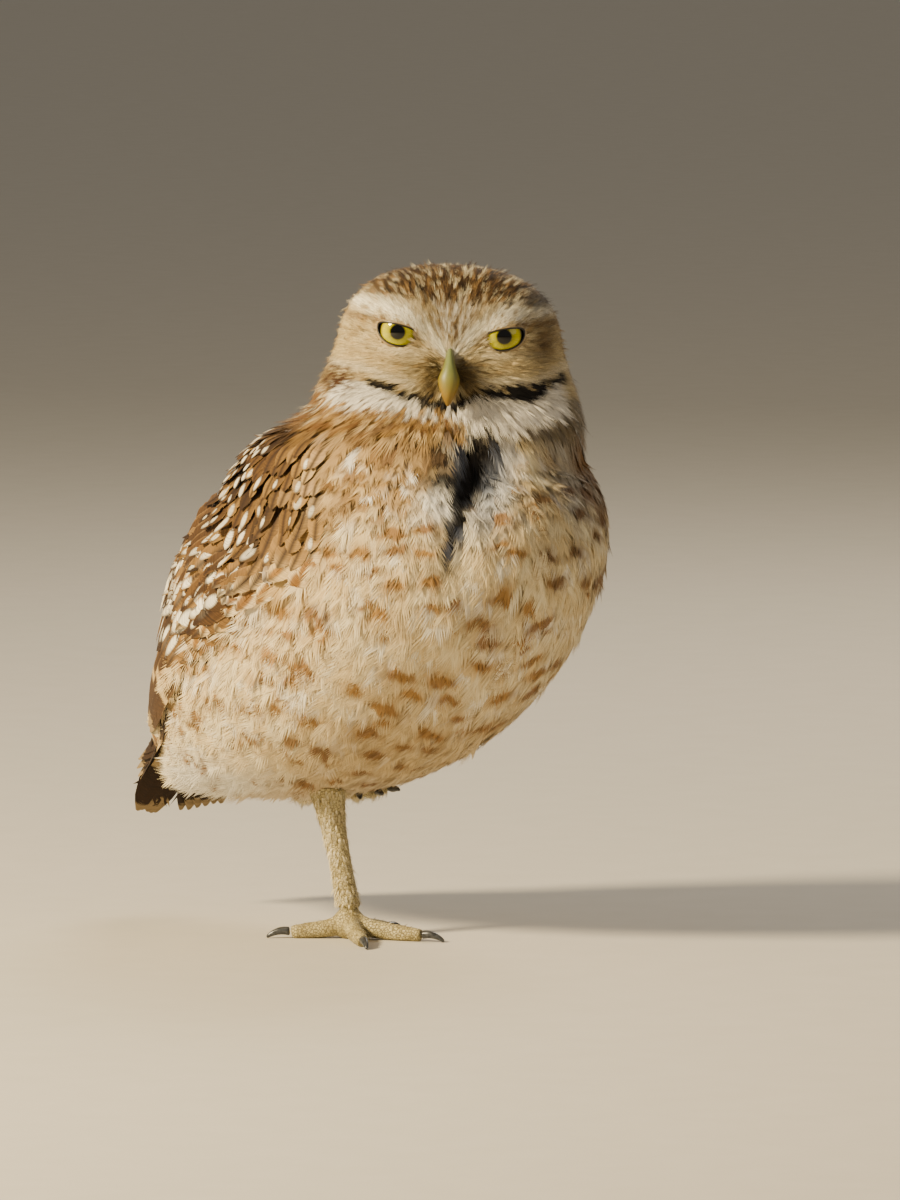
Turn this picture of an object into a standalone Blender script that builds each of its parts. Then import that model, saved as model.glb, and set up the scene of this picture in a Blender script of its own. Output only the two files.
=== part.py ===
"""Burrowing owl, life size, standing on its right leg with the left foot drawn up under the belly.

The owl faces -Y, its left side is +X and the floor is z = 0. The origin is on the floor under the
standing foot. "Ahead" is the distance forward of the origin, which is -Y. All sizes are in metres.
"""

import math
import random

import bmesh
import bpy
import numpy as np
from mathutils import Matrix, Vector

GAP = 0.0003
MIDLINE = 0.007
NORMAL_STEP = 0.01

# The torso with its plumage, as slanted rings from the neck to the vent.
# Each ring: back ahead, back height, breast ahead, breast height, half width.
BODY_RINGS = (
    (-0.0302, 0.1520, 0.0778, 0.1500, 0.0496),
    (-0.0392, 0.1390, 0.0863, 0.1370, 0.0550),
    (-0.0462, 0.1260, 0.0883, 0.1220, 0.0555),
    (-0.0542, 0.1120, 0.0823, 0.1060, 0.0555),
    (-0.0612, 0.0990, 0.0713, 0.0900, 0.0545),
    (-0.0682, 0.0870, 0.0558, 0.0745, 0.0515),
    (-0.0742, 0.0760, 0.0373, 0.0615, 0.0470),
    (-0.0792, 0.0660, 0.0153, 0.0510, 0.0415),
    (-0.0822, 0.0570, -0.0092, 0.0445, 0.0350),
    (-0.0842, 0.0490, -0.0352, 0.0418, 0.0270),
    (-0.0852, 0.0440, -0.0602, 0.0402, 0.0185),
)
BACK_FULLNESS = 2.3
BREAST_FULLNESS = 2.1
BODY_AROUND = 40
BODY_STEPS_PER_RING = 2

# The parting in the breast feathers, on the owl's right: ring, angle from the back, depth.
PARTING_ANGLES = (-166, -160, -154, -150)
PARTING_DEPTH = 0.0045
PARTING_HALF_ANGLE = 7.0
PARTING_LENGTH = 2.6

# The wings lie on the torso, and past its end on these two rings above the tail.
WING_RINGS = BODY_RINGS[:9] + (
    (-0.0922, 0.0510, -0.0412, 0.0380, 0.0320),
    (-0.0992, 0.0430, -0.0662, 0.0310, 0.0235),
)

# Edges of the folded wing from wrist to tip, as ring number and angle from the back.
UPPER_EDGE = ((0.7, 50), (2.6, 28), (5.0, 20), (7.6, 20), (10.0, 26))
LOWER_EDGE = ((2.2, 114), (3.2, 98), (4.6, 76), (6.9, 60), (10.0, 41))

# Each row of wing feathers, from the lowest layer to the top one: name, count,
# first and last place across the wing, root and tip along the wing, width, height, lift between.
WING_ROWS = (
    ("primary", 7, (0.95, 0.42), (0.32, 0.32), (1.00, 0.80), 0.0092, 0.0014, 0.0005),
    ("secondary", 8, (0.86, 0.08), (0.30, 0.28), (0.75, 0.62), 0.0104, 0.0044, 0.0),
    ("greater_covert", 8, (0.90, 0.09), (0.18, 0.16), (0.47, 0.37), 0.0104, 0.0055, 0.0),
    ("median_covert", 8, (0.88, 0.10), (0.07, 0.06), (0.28, 0.21), 0.0104, 0.0064, 0.0),
)
VANE_THICK = 0.0005
VANE_STATIONS = ((0.0, 0.6), (0.45, 1.0), (0.85, 0.85), (1.0, 0.25))
VANE_TILT = math.radians(11)
VANE_ROOT_HEIGHT = 0.0018
# Places and reaches of the wing feathers vary by these shares of the wing.
ACROSS_JITTER = 0.006
REACH_JITTER = 0.008
WING_CORE_END = 0.56
WING_CORE_THICK = 0.0040
WING_CORE_EDGE = 0.0006
WING_FRONT_TAPER = 0.22
WING_SINK = 0.0015

# The tail: a short core on the rump, with six pairs of feathers fanned from it.
TAIL_ROOT = (-0.0722, 0.0850)
TAIL_TIP = (-0.1017, 0.0340)
TAIL_PAIRS = 6
TAIL_SPREAD = math.radians(13)
TAIL_VANE_WIDTH = 0.0130
TAIL_STEP = 0.0009
# The core of the tail: share of the tail's length, half width, half depth.
TAIL_CORE = ((0.02, 0.010, 0.0030), (0.3, 0.012, 0.0029), (0.55, 0.011, 0.0022), (0.70, 0.007, 0.0010))
TAIL_CORE_DROP = 0.0026
TAIL_CORE_AROUND = 14

# The head, in its own frame: turned to the owl's right and tilted a little.
HEAD_AHEAD = 0.0368
HEAD_SIDE = 0.010
HEAD_TURN = math.radians(-38)
HEAD_TILT = math.radians(2.6)
# Each ring: height, half width, depth of the face, depth of the nape.
HEAD_RINGS = (
    (0.1660, 0.0425, 0.0345, 0.0400),
    (0.1720, 0.0405, 0.0335, 0.0380),
    (0.1790, 0.0375, 0.0320, 0.0350),
    (0.1860, 0.0352, 0.0305, 0.0328),
    (0.1930, 0.0336, 0.0290, 0.0310),
    (0.1990, 0.0310, 0.0268, 0.0285),
    (0.2045, 0.0260, 0.0225, 0.0240),
    (0.2085, 0.0185, 0.0160, 0.0170),
    (0.2106, 0.0095, 0.0084, 0.0089),
    (0.2111, 0.0040, 0.0036, 0.0038),
)
HEAD_FULLNESS = 2.3
HEAD_AROUND = 32
HEAD_STEPS_PER_RING = 2

EYE_SIDE = 0.0152
EYE_HEIGHT = 0.1915
EYE_DEPTH = 0.0197
EYE_RADIUS = 0.0082
EYE_OUTWARD = math.radians(8)
LID_THICK = 0.0008
# The opening between the lids: flat above, round below, lower at the bill's side.
LID_HALF_WIDTH = 0.0058
LID_OUTWARD = 0.0005
LID_TOP = 0.0026
LID_BOTTOM = 0.0043
LID_SLOPE = 0.16
# The brow juts over each eye and rises outwards; the eye lies in a hollow; the bill's base juts.
BROW_RISE = 0.0030
BROW_ABOVE = 0.0068
BROW_SLOPE = 0.18
BROW_HALF = 0.0030
EYE_HOLLOW = 0.0022
EYE_HOLLOW_WIDTH = 0.0095
EYE_HOLLOW_HEIGHT = 0.0065
MUZZLE_RISE = 0.0022
MUZZLE_LEVEL = 0.1800
MUZZLE_HALF = 0.0075

# Bill: depth ahead of the head's centre, height, half width, half height, from base to tip.
BILL_UPPER = (
    (0.0260, 0.1835, 0.0046, 0.0046),
    (0.0320, 0.1830, 0.0044, 0.0044),
    (0.0360, 0.1810, 0.0038, 0.0040),
    (0.0385, 0.1775, 0.0029, 0.0032),
    (0.0392, 0.1735, 0.0017, 0.0020),
    (0.0386, 0.1704, 0.0005, 0.0007),
)
BILL_LOWER = (
    (0.0260, 0.1768, 0.0034, 0.0022),
    (0.0310, 0.1760, 0.0032, 0.0020),
    (0.0345, 0.1745, 0.0024, 0.0015),
    (0.0362, 0.1728, 0.0009, 0.0007),
)
BILL_AROUND = 12
# Nostrils: side, depth, height of their centres.
NOSTRIL_PLACE = (0.0040, 0.0345, 0.1842)
NOSTRIL_RADIUS = 0.0008

# The standing leg, as ahead, side and height of each point, with its radius.
TARSUS = (
    (-0.0052, -0.0029, 0.0380, 0.0043),
    (-0.0038, -0.0018, 0.0290, 0.0037),
    (-0.0020, -0.0008, 0.0190, 0.0035),
    (-0.0002, 0.0000, 0.0080, 0.0043),
)
THIGH = (
    (-0.0010, -0.0062, 0.0600, 0.0095),
    (-0.0046, -0.0050, 0.0480, 0.0066),
    (-0.0052, -0.0034, 0.0410, 0.0049),
    (-0.0046, -0.0024, 0.0340, 0.0042),
)
# Toes: direction from the foot's centre and the length of the toe without its claw.
TOES = (
    ("inner", 29, 0.0245),
    ("middle", -28, 0.0255),
    ("outer", -128, 0.0180),
    ("hind", 100, 0.0175),
)
# Each toe: share of its length, height of its middle line, radius.
TOE_LINE = (
    (0.0, 0.0060, 0.0034),
    (0.3, 0.0033, 0.0030),
    (0.65, 0.0025, 0.0027),
    (1.0, 0.0019, 0.0021),
)
FOOT_BALL_HEIGHT = 0.0046
FOOT_BALL_RADIUS = 0.0052
FOOT_TOP = 0.0098
HEEL_LEVEL = 0.0360
# Each claw: share of its length, rise over its root, radius. Its tip rests on the floor.
CLAW_LINE = (
    (0.0, 0.0, 0.0015),
    (0.4, 0.0005, 0.0014),
    (0.75, -0.0003, 0.0010),
    (1.0, -0.0016, 0.0005),
)
CLAW_LENGTH = 0.0085
CLAW_ROOT_DEPTH = 0.0008

# The foot that is drawn up, under the belly on the owl's left: heel and ball, ahead and side.
TUCKED_HEEL = (-0.048, 0.018)
TUCKED_BALL = (-0.022, 0.020)
TUCKED_HEEL_RADIUS = 0.0048
TUCKED_RADIUS = 0.0038
TUCKED_BALL_RADIUS = 0.0044
TUCKED_RISE = 0.0008
TUCKED_SHANK_END = 0.0042
TUCKED_TOES = (-34, -8, 16, 150)
# Its toes and claws: reach from the ball, depth under the belly's surface, radius.
TUCKED_TOE_LINE = (
    (0.0050, -0.0004, 0.0028),
    (0.0092, 0.0002, 0.0025),
    (0.0118, 0.0007, 0.0019),
)
TUCKED_CLAW_LINE = (
    (0.0123, 0.0008, 0.0013),
    (0.0140, 0.0013, 0.0012),
    (0.0156, 0.0018, 0.0009),
    (0.0168, 0.0024, 0.0003),
)


def clear_scene():
    for thing in list(bpy.data.objects):
        bpy.data.objects.remove(thing, do_unlink=True)


def new_collection(name):
    collection = bpy.data.collections.new(name)
    bpy.context.scene.collection.children.link(collection)
    return collection


def linear(value):
    return value / 12.92 if value <= 0.04045 else ((value + 0.055) / 1.055) ** 2.4


def new_material(name, hex_colour, roughness):
    material = bpy.data.materials.new(name)
    material.use_nodes = True
    shader = material.node_tree.nodes["Principled BSDF"]
    parts = [int(hex_colour[place : place + 2], 16) / 255 for place in (0, 2, 4)]
    shader.inputs["Base Color"].default_value = [linear(part) for part in parts] + [1.0]
    shader.inputs["Roughness"].default_value = roughness
    shader.inputs["Metallic"].default_value = 0.0
    return material


def mesh_object(name, points, faces, collection):
    mesh = bpy.data.meshes.new(name)
    mesh.from_pydata([tuple(point) for point in points], [], faces)
    mesh.update()
    thing = bpy.data.objects.new(name, mesh)
    collection.objects.link(thing)
    return thing


def face_outwards(thing):
    shape = bmesh.new()
    shape.from_mesh(thing.data)
    bmesh.ops.recalc_face_normals(shape, faces=shape.faces)
    shape.to_mesh(thing.data)
    shape.free()


def spline(rows, place):
    """The row at a place along a table, on a smooth curve through its rows."""
    table = np.array(rows, float)
    place = min(max(place, 0.0), len(table) - 1.0)
    first = min(int(place), len(table) - 2)
    part = place - first
    before = table[first - 1] if first else 2 * table[0] - table[1]
    after = table[first + 2] if first + 2 < len(table) else 2 * table[-1] - table[-2]
    here, there = table[first], table[first + 1]
    return here + 0.5 * part * (
        there
        - before
        + part * (2 * before - 5 * here + 4 * there - after)
        + part * part * (3 * (here - there) + after - before)
    )


def rounded(value, fullness):
    return math.copysign(abs(value) ** (2 / fullness), value)


def ring_point(rings, place, angle):
    """A point of the slanted rings: angle 0 is the back, 90 the left side, -90 the right."""
    back, back_z, breast, breast_z, half_width = spline(rings, place)
    turn = math.radians(angle)
    part = (1 + math.cos(turn)) / 2
    fullness = BREAST_FULLNESS + (BACK_FULLNESS - BREAST_FULLNESS) * part
    along = rounded(math.cos(turn), fullness)
    across = rounded(math.sin(turn), fullness)
    ahead = (back + breast) / 2 + along * (back - breast) / 2
    height = (back_z + breast_z) / 2 + along * (back_z - breast_z) / 2
    return Vector((MIDLINE + across * half_width, -ahead, height))


def parting_depth(place, angle):
    """How far the breast feathers part here."""
    if place > PARTING_LENGTH:
        return 0.0
    middle = spline([(value,) for value in PARTING_ANGLES], place)[0]
    off = (angle - middle) / PARTING_HALF_ANGLE
    fade = math.sqrt(1 - place / PARTING_LENGTH)
    return PARTING_DEPTH * fade * math.exp(-off * off)


def surface(rings, place, angle, height):
    """A point at a height over the rings' surface, and the direction out of it."""
    here = ring_point(rings, place, angle)
    step = NORMAL_STEP if place < len(rings) - 1.5 else -NORMAL_STEP
    along = (ring_point(rings, place + step, angle) - here) / step
    around = ring_point(rings, place, angle + 1) - ring_point(rings, place, angle - 1)
    out = around.cross(along).normalized()
    centre = (ring_point(rings, place, 0) + ring_point(rings, place, 180)) / 2
    if out.dot(here - centre) < 0:
        out = -out
    return here + out * height, out


def loft(name, rings, collection):
    """A closed body through rings of points, each with the same count."""
    count = len(rings[0])
    faces = [tuple(range(count))]
    for level in range(len(rings) - 1):
        low, high = level * count, (level + 1) * count
        for i in range(count):
            j = (i + 1) % count
            faces.append((low + i, high + i, high + j, low + j))
    last = (len(rings) - 1) * count
    faces.append(tuple(range(last + count - 1, last - 1, -1)))
    thing = mesh_object(name, [p for ring in rings for p in ring], faces, collection)
    face_outwards(thing)
    return thing


def apply_modifiers(thing):
    graph = bpy.context.evaluated_depsgraph_get()
    mesh = bpy.data.meshes.new_from_object(thing.evaluated_get(graph))
    thing.modifiers.clear()
    old = thing.data
    thing.data = mesh
    bpy.data.meshes.remove(old)


def combine(thing, other, operation, solver="EXACT"):
    """A Boolean with one object or with a whole collection, applied, and its pieces removed."""
    modifier = thing.modifiers.new(operation.title(), "BOOLEAN")
    modifier.operation = operation
    modifier.solver = solver
    if isinstance(other, bpy.types.Collection):
        modifier.operand_type = "COLLECTION"
        modifier.collection = other
    else:
        modifier.object = other
    apply_modifiers(thing)
    pieces = list(other.objects) if isinstance(other, bpy.types.Collection) else [other]
    for piece in pieces:
        bpy.data.objects.remove(piece, do_unlink=True)


def volume_of(faces):
    return sum(f.calc_center_median().dot(f.normal) * f.calc_area() for f in faces)


def keep_largest(thing):
    """Leaves only the largest closed surface."""
    shape = bmesh.new()
    shape.from_mesh(thing.data)
    left = set(shape.faces)
    bodies = []
    while left:
        body, edge = set(), {left.pop()}
        while edge:
            body |= edge
            near = {g for face in edge for line in face.edges for g in line.link_faces}
            edge = near - body
        left -= body
        bodies.append(body)
    bodies.sort(key=volume_of)
    for body in bodies[:-1]:
        bmesh.ops.delete(shape, geom=list(body), context="FACES")
    loose = [point for point in shape.verts if not point.link_faces]
    bmesh.ops.delete(shape, geom=loose, context="VERTS")
    shape.to_mesh(thing.data)
    shape.free()


def finish_piece(piece, material):
    keep_largest(piece)
    piece.data.materials.clear()
    piece.data.materials.append(material)


def tube(name, points, radii, collection, resolution=2, turn_steps=6):
    """A tapered round tube along a smooth path, as a closed mesh."""
    path = bpy.data.curves.new(name, "CURVE")
    path.dimensions = "3D"
    path.bevel_depth = 1.0
    path.bevel_resolution = resolution
    path.use_fill_caps = True
    line = path.splines.new("POLY")
    rows = [tuple(point) + (radius,) for point, radius in zip(points, radii)]
    steps = [spline(rows, i * (len(rows) - 1) / turn_steps) for i in range(turn_steps + 1)]
    line.points.add(len(steps) - 1)
    for point, row in zip(line.points, steps):
        point.co = (row[0], row[1], row[2], 1.0)
        point.radius = row[3]
    curve = bpy.data.objects.new(name + "_path", path)
    collection.objects.link(curve)
    graph = bpy.context.evaluated_depsgraph_get()
    mesh = bpy.data.meshes.new_from_object(curve.evaluated_get(graph))
    thing = bpy.data.objects.new(name, mesh)
    thing.matrix_world = curve.matrix_world
    collection.objects.link(thing)
    bpy.data.objects.remove(curve, do_unlink=True)
    shape = bmesh.new()
    shape.from_mesh(mesh)
    bmesh.ops.remove_doubles(shape, verts=shape.verts, dist=1e-6)
    bmesh.ops.recalc_face_normals(shape, faces=shape.faces)
    shape.to_mesh(mesh)
    shape.free()
    return thing


def ball(name, centre, radius, collection, segments=20, rings=12):
    mesh = bpy.data.meshes.new(name)
    shape = bmesh.new()
    bmesh.ops.create_uvsphere(shape, u_segments=segments, v_segments=rings, radius=radius)
    bmesh.ops.translate(shape, verts=shape.verts, vec=centre)
    shape.to_mesh(mesh)
    shape.free()
    thing = bpy.data.objects.new(name, mesh)
    collection.objects.link(thing)
    return thing


def place_ahead(ahead, side, height):
    return Vector((side, -ahead, height))


def body_rings(rings, height):
    levels = (len(rings) - 1) * BODY_STEPS_PER_RING
    found = []
    for level in range(levels + 1):
        place = level / BODY_STEPS_PER_RING
        ring = []
        for i in range(BODY_AROUND):
            angle = 180 - 360 * i / BODY_AROUND
            depth = parting_depth(place, angle)
            ring.append(surface(rings, place, angle, height - depth)[0])
        found.append(ring)
    return found


def flatten_top(ring, rise):
    """The top ring stays in its own plane, raised square to it."""
    back, back_z, breast, breast_z, _ = BODY_RINGS[0]
    slope = (back_z - breast_z) / (back - breast)
    moved = []
    for point in ring:
        level = back_z + slope * (-point.y - back) + rise
        moved.append(Vector((point.x, point.y, level)))
    return moved


def torso_shape(name, swell, collection):
    """The torso, or the same form swollen evenly for cutting its neighbours."""
    rings = body_rings(BODY_RINGS, swell)
    rings[0] = flatten_top(rings[0], swell)
    if swell:
        end = sum((point for point in rings[-1]), Vector()) / BODY_AROUND
        before = sum((point for point in rings[-2]), Vector()) / BODY_AROUND
        out = (end - before).normalized() * swell * 2
        rings[-1] = [point + out for point in rings[-1]]
    return loft(name, rings, collection)


def head_point(place, angle, swell):
    """A point of the head in its own frame: angle 0 is the face, 90 its left side."""
    height, half_width, face, nape = spline(HEAD_RINGS, place)
    turn = math.radians(angle)
    along = rounded(math.cos(turn), HEAD_FULLNESS)
    across = rounded(math.sin(turn), HEAD_FULLNESS)
    depth = face if along > 0 else nape
    point = Vector((across * half_width, -along * depth, height))
    side = abs(math.atan2(math.sin(turn), math.cos(turn)))
    if side < math.pi / 2:
        off = abs(point.x) - EYE_SIDE
        over = height - EYE_HEIGHT
        from_eye = (off / EYE_HOLLOW_WIDTH) ** 2
        brow = ((over - BROW_ABOVE - BROW_SLOPE * off) / BROW_HALF) ** 2
        hollow = (over / EYE_HOLLOW_HEIGHT) ** 2
        ridge = (point.x / MUZZLE_HALF) ** 2 + ((height - MUZZLE_LEVEL) / MUZZLE_HALF) ** 2
        point.y -= BROW_RISE * math.exp(-from_eye - brow)
        point.y += EYE_HOLLOW * math.exp(-from_eye - hollow)
        point.y -= MUZZLE_RISE * math.exp(-ridge)
    out = Vector((point.x / half_width**2, point.y / depth**2, 0.0)).normalized()
    return point + out * swell


def head_frame():
    turn = Matrix.Rotation(HEAD_TURN, 4, "Z")
    pivot = Vector((0, 0, HEAD_RINGS[0][0]))
    tilt = Matrix.Rotation(HEAD_TILT, 4, "Y")
    tilt = Matrix.Translation(pivot) @ tilt @ Matrix.Translation(-pivot)
    return Matrix.Translation((HEAD_SIDE, -HEAD_AHEAD, 0)) @ turn @ tilt


def head_ring(place, swell):
    ring = []
    for i in range(HEAD_AROUND):
        ring.append(head_point(place, 360 * i / HEAD_AROUND, swell))
    return ring


def head_shape(name, swell, collection):
    levels = (len(HEAD_RINGS) - 1) * HEAD_STEPS_PER_RING
    rings = [head_ring(i / HEAD_STEPS_PER_RING, swell) for i in range(levels + 1)]
    lift = Vector((0, 0, swell))
    rings[0] = [point - lift for point in rings[0]]
    rings[-1] = [point + lift for point in rings[-1]]
    return loft(name, rings, collection)


def eye_centre(side):
    return Vector((side * EYE_SIDE, -EYE_DEPTH, EYE_HEIGHT))


def lid_opening(side, collection):
    """A short prism in front of the eye with the outline between the lids."""
    outline = []
    steps = 24
    for i in range(steps):
        turn = 2 * math.pi * i / steps
        up = math.sin(turn)
        out = LID_HALF_WIDTH * math.cos(turn)
        rise = LID_TOP * rounded(up, 3.4) if up > 0 else LID_BOTTOM * rounded(up, 2.1)
        outline.append((side * (out + LID_OUTWARD), rise + LID_SLOPE * out))
    rings = []
    for depth in (0.0035, 0.0140):
        rings.append([Vector((x, -depth, z)) for x, z in outline])
    thing = loft("lid_opening", rings, collection)
    frame = Matrix.Translation(eye_centre(side)) @ Matrix.Rotation(side * EYE_OUTWARD, 4, "Z")
    thing.data.transform(frame)
    return thing


def bill_rings(rows, swell):
    rings = []
    steps = 2 * (len(rows) - 1)
    for i in range(steps + 1):
        here = spline(rows, i / 2)
        ahead = spline(rows, min(i / 2 + 0.1, len(rows) - 1))
        behind = spline(rows, max(i / 2 - 0.1, 0))
        along = Vector((0, behind[0] - ahead[0], ahead[1] - behind[1])).normalized()
        up = Vector((1, 0, 0)).cross(along)
        ring = []
        for j in range(BILL_AROUND):
            turn = 2 * math.pi * j / BILL_AROUND
            side = math.cos(turn) * (here[2] + swell)
            rise = math.sin(turn) * (here[3] + swell)
            ring.append(Vector((side, -here[0], here[1])) + up * rise)
        rings.append(ring)
    return rings


def wing_point(along, across, height, side):
    """A point over the folded wing: along from wrist to tip, across from upper to lower edge."""
    upper = spline(UPPER_EDGE, along * (len(UPPER_EDGE) - 1))
    lower = spline(LOWER_EDGE, along * (len(LOWER_EDGE) - 1))
    ring, angle = upper + (lower - upper) * across
    return surface(WING_RINGS, ring, side * angle, height)


def ribbon(name, stations, collection):
    """A closed thin vane. Each station has its left and right edge, each above and below."""
    points = [point for station in stations for point in station]
    faces = [(0, 1, 3), (0, 3, 2)]
    for level in range(len(stations) - 1):
        a, b = level * 4, level * 4 + 4
        faces += [(a, b, b + 1), (a, b + 1, a + 1)]
        faces += [(a + 2, b + 3, b + 2), (a + 2, a + 3, b + 3)]
        faces += [(a + 1, b + 1, b + 3), (a + 1, b + 3, a + 3)]
        faces += [(a, a + 2, b + 2), (a, b + 2, b)]
    end = (len(stations) - 1) * 4
    faces += [(end, end + 3, end + 1), (end, end + 2, end + 3)]
    thing = mesh_object(name, points, faces, collection)
    face_outwards(thing)
    return thing


def wing_vane(name, root, tip, width, heights, side, collection):
    """One vane over the wing, its lower edge lifted over the next feather."""
    stations = []
    for along, fullness in VANE_STATIONS:
        a = root[0] + (tip[0] - root[0]) * along
        b = root[1] + (tip[1] - root[1]) * along
        rise = heights[0] + (heights[1] - heights[0]) * min(1.0, 2 * along)
        here, out = wing_point(a, b, rise, side)
        ahead = wing_point(a + 0.01, b, rise, side)[0] - wing_point(a - 0.01, b, rise, side)[0]
        low = out.cross(ahead).normalized() * -side
        half = width * fullness / 2
        lift = out * half * math.tan(VANE_TILT)
        thick = out * (VANE_THICK / 2)
        edges = (here - low * half - lift, here + low * half + lift)
        stations.append([edges[0] + thick, edges[1] + thick, edges[0] - thick, edges[1] - thick])
    return ribbon(name, stations, collection)


def wing_core(name, side, collection):
    """The covered arm and hand: a low pad, thickest at the wrist."""
    along_steps, across_steps = 7, 8
    top, bottom = [], []
    for i in range(along_steps + 1):
        for j in range(across_steps + 1):
            along = 0.01 + (WING_CORE_END - 0.01) * i / along_steps
            across = 0.02 + 0.96 * j / across_steps
            crown = 1 - abs(2 * across - 1) ** 3
            front = min(1.0, 0.1 + along / WING_FRONT_TAPER)
            fade = 1 - (along / WING_CORE_END) ** 2 * 0.8
            rise = WING_CORE_EDGE + WING_CORE_THICK * crown * front * fade
            top.append(wing_point(along, across, rise, side)[0])
            bottom.append(wing_point(along, across, -WING_SINK, side)[0])
    row = across_steps + 1
    count = len(top)
    faces = []
    for i in range(along_steps):
        for j in range(across_steps):
            a = i * row + j
            faces.append((a, a + row, a + row + 1, a + 1))
            faces.append((count + a, count + a + 1, count + a + row + 1, count + a + row))
    rim = [j for j in range(row)]
    rim += [i * row + row - 1 for i in range(1, along_steps + 1)]
    rim += [along_steps * row + j for j in range(row - 2, -1, -1)]
    rim += [i * row for i in range(along_steps - 1, 0, -1)]
    for i, here in enumerate(rim):
        there = rim[(i + 1) % len(rim)]
        faces.append((here, there, count + there, count + here))
    thing = mesh_object(name, top + bottom, faces, collection)
    face_outwards(thing)
    return thing


def make_wing(name, side, material, owl, loose):
    draw = random.Random(11 if side < 0 else 12)
    wing = wing_core(name, side, owl)
    for row, count, across, roots, tips, width, height, lift in WING_ROWS:
        for i in range(count):
            part = i / (count - 1)
            low = across[0] + (across[1] - across[0]) * part
            start = roots[0] + (roots[1] - roots[0]) * part
            root = (start, low + draw.uniform(-ACROSS_JITTER, ACROSS_JITTER))
            reach = tips[0] + (tips[1] - tips[0]) * part
            reach += draw.uniform(-REACH_JITTER, REACH_JITTER)
            tip = (min(reach, 1.0), low + draw.uniform(-ACROSS_JITTER, ACROSS_JITTER))
            top = height + lift * i
            heights = (min(top, VANE_ROOT_HEIGHT), top)
            size = width * draw.uniform(0.95, 1.05)
            wing_vane(f"{row}_{i}", root, tip, size, heights, side, loose)
    combine(wing, loose, "UNION", "MANIFOLD")
    combine(wing, torso_shape("torso_room", GAP, owl), "DIFFERENCE", "MANIFOLD")
    combine(wing, tail_room(owl), "DIFFERENCE", "MANIFOLD")
    finish_piece(wing, material)


def tail_axes():
    root = place_ahead(TAIL_ROOT[0], MIDLINE, TAIL_ROOT[1])
    tip = place_ahead(TAIL_TIP[0], MIDLINE, TAIL_TIP[1])
    along = (tip - root).normalized()
    across = Vector((1, 0, 0))
    up = across.cross(along).normalized()
    if up.z < 0:
        up = -up
    return root, along, across, up, (tip - root).length


def tail_vane(name, turn, length, rise, side, collection):
    root, along, across, up, _ = tail_axes()
    heading = along * math.cos(turn) + across * math.sin(turn)
    beside = across * math.cos(turn) - along * math.sin(turn)
    stations = []
    for part, fullness in VANE_STATIONS:
        here = root + across * (side * 0.004) + heading * (length * part)
        here += up * (rise * min(1.0, 2.5 * part + 0.4))
        half = TAIL_VANE_WIDTH * fullness / 2
        lift = up * half * math.tan(VANE_TILT) * side * -1
        thick = up * (VANE_THICK / 2)
        edges = (here - beside * half - lift, here + beside * half + lift)
        stations.append([edges[0] + thick, edges[1] + thick, edges[0] - thick, edges[1] - thick])
    return ribbon(name, stations, collection)


def tail_room(collection):
    """The space that the tail keeps clear of the wings."""
    root, along, across, up, length = tail_axes()
    rings = []
    for part, half in ((0.0, 0.012), (0.5, 0.019), (1.06, 0.025)):
        here = root + along * (length * part)
        top = up * 0.0009
        low = up * -0.012
        edge = across * half
        rings.append([here - edge + top, here + edge + top, here + edge + low, here - edge + low])
    return loft("tail_room", rings, collection)


def make_tail(material, owl, loose):
    root, along, across, up, length = tail_axes()
    draw = random.Random(21)
    rings = []
    for part, half, deep in TAIL_CORE:
        here = root + along * (length * part) - up * TAIL_CORE_DROP
        ring = []
        for i in range(TAIL_CORE_AROUND):
            turn = 2 * math.pi * i / TAIL_CORE_AROUND
            ring.append(here + across * half * math.cos(turn) + up * deep * math.sin(turn))
        rings.append(ring)
    tail = loft("tail", rings, owl)
    for pair in range(TAIL_PAIRS):
        for side in (-1, 1):
            turn = side * TAIL_SPREAD * (pair + 0.35) / TAIL_PAIRS
            reach = length * (1.0 - 0.012 * pair) + draw.uniform(-0.0006, 0.0006)
            rise = -TAIL_STEP * pair - (0.00045 if side > 0 else 0)
            tail_vane(f"rectrix_{pair}", turn, reach, rise, side, loose)
    combine(tail, loose, "UNION", "MANIFOLD")
    combine(tail, torso_shape("torso_room", GAP, owl), "DIFFERENCE", "MANIFOLD")
    finish_piece(tail, material)


def make_torso(material, owl):
    torso = torso_shape("torso", 0.0, owl)
    torso.data.materials.append(material)


def make_neck(material, owl):
    """From the torso's top ring to the head's lowest one."""
    top = []
    frame = head_frame()
    for i in range(BODY_AROUND):
        angle = 360 * i / BODY_AROUND - math.degrees(HEAD_TURN)
        point = head_point(0, angle, 0)
        point.z -= GAP
        top.append(frame @ point)
    low = flatten_top(body_rings(BODY_RINGS, 0.0)[0], GAP)
    rings = [low]
    for part in (0.3, 0.65):
        ring = []
        for a, b in zip(low, top):
            out = (a + b) / 2 - Vector((HEAD_SIDE, -HEAD_AHEAD, (a.z + b.z) / 2))
            ring.append(a.lerp(b, part) + out.normalized() * 0.0012 * math.sin(math.pi * part))
        rings.append(ring)
    rings.append(top)
    neck = loft("neck", rings, owl)
    neck.data.materials.append(material)


def make_head(material, owl, loose):
    head = head_shape("head", 0.0, owl)
    for side in (-1, 1):
        ball("lid", eye_centre(side), EYE_RADIUS + GAP + LID_THICK, loose)
    combine(head, loose, "UNION")
    for side in (-1, 1):
        combine(head, ball("socket", eye_centre(side), EYE_RADIUS + GAP, owl), "DIFFERENCE")
        combine(head, lid_opening(side, owl), "DIFFERENCE")
    finish_piece(head, material)
    head.data.transform(head_frame())


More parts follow.
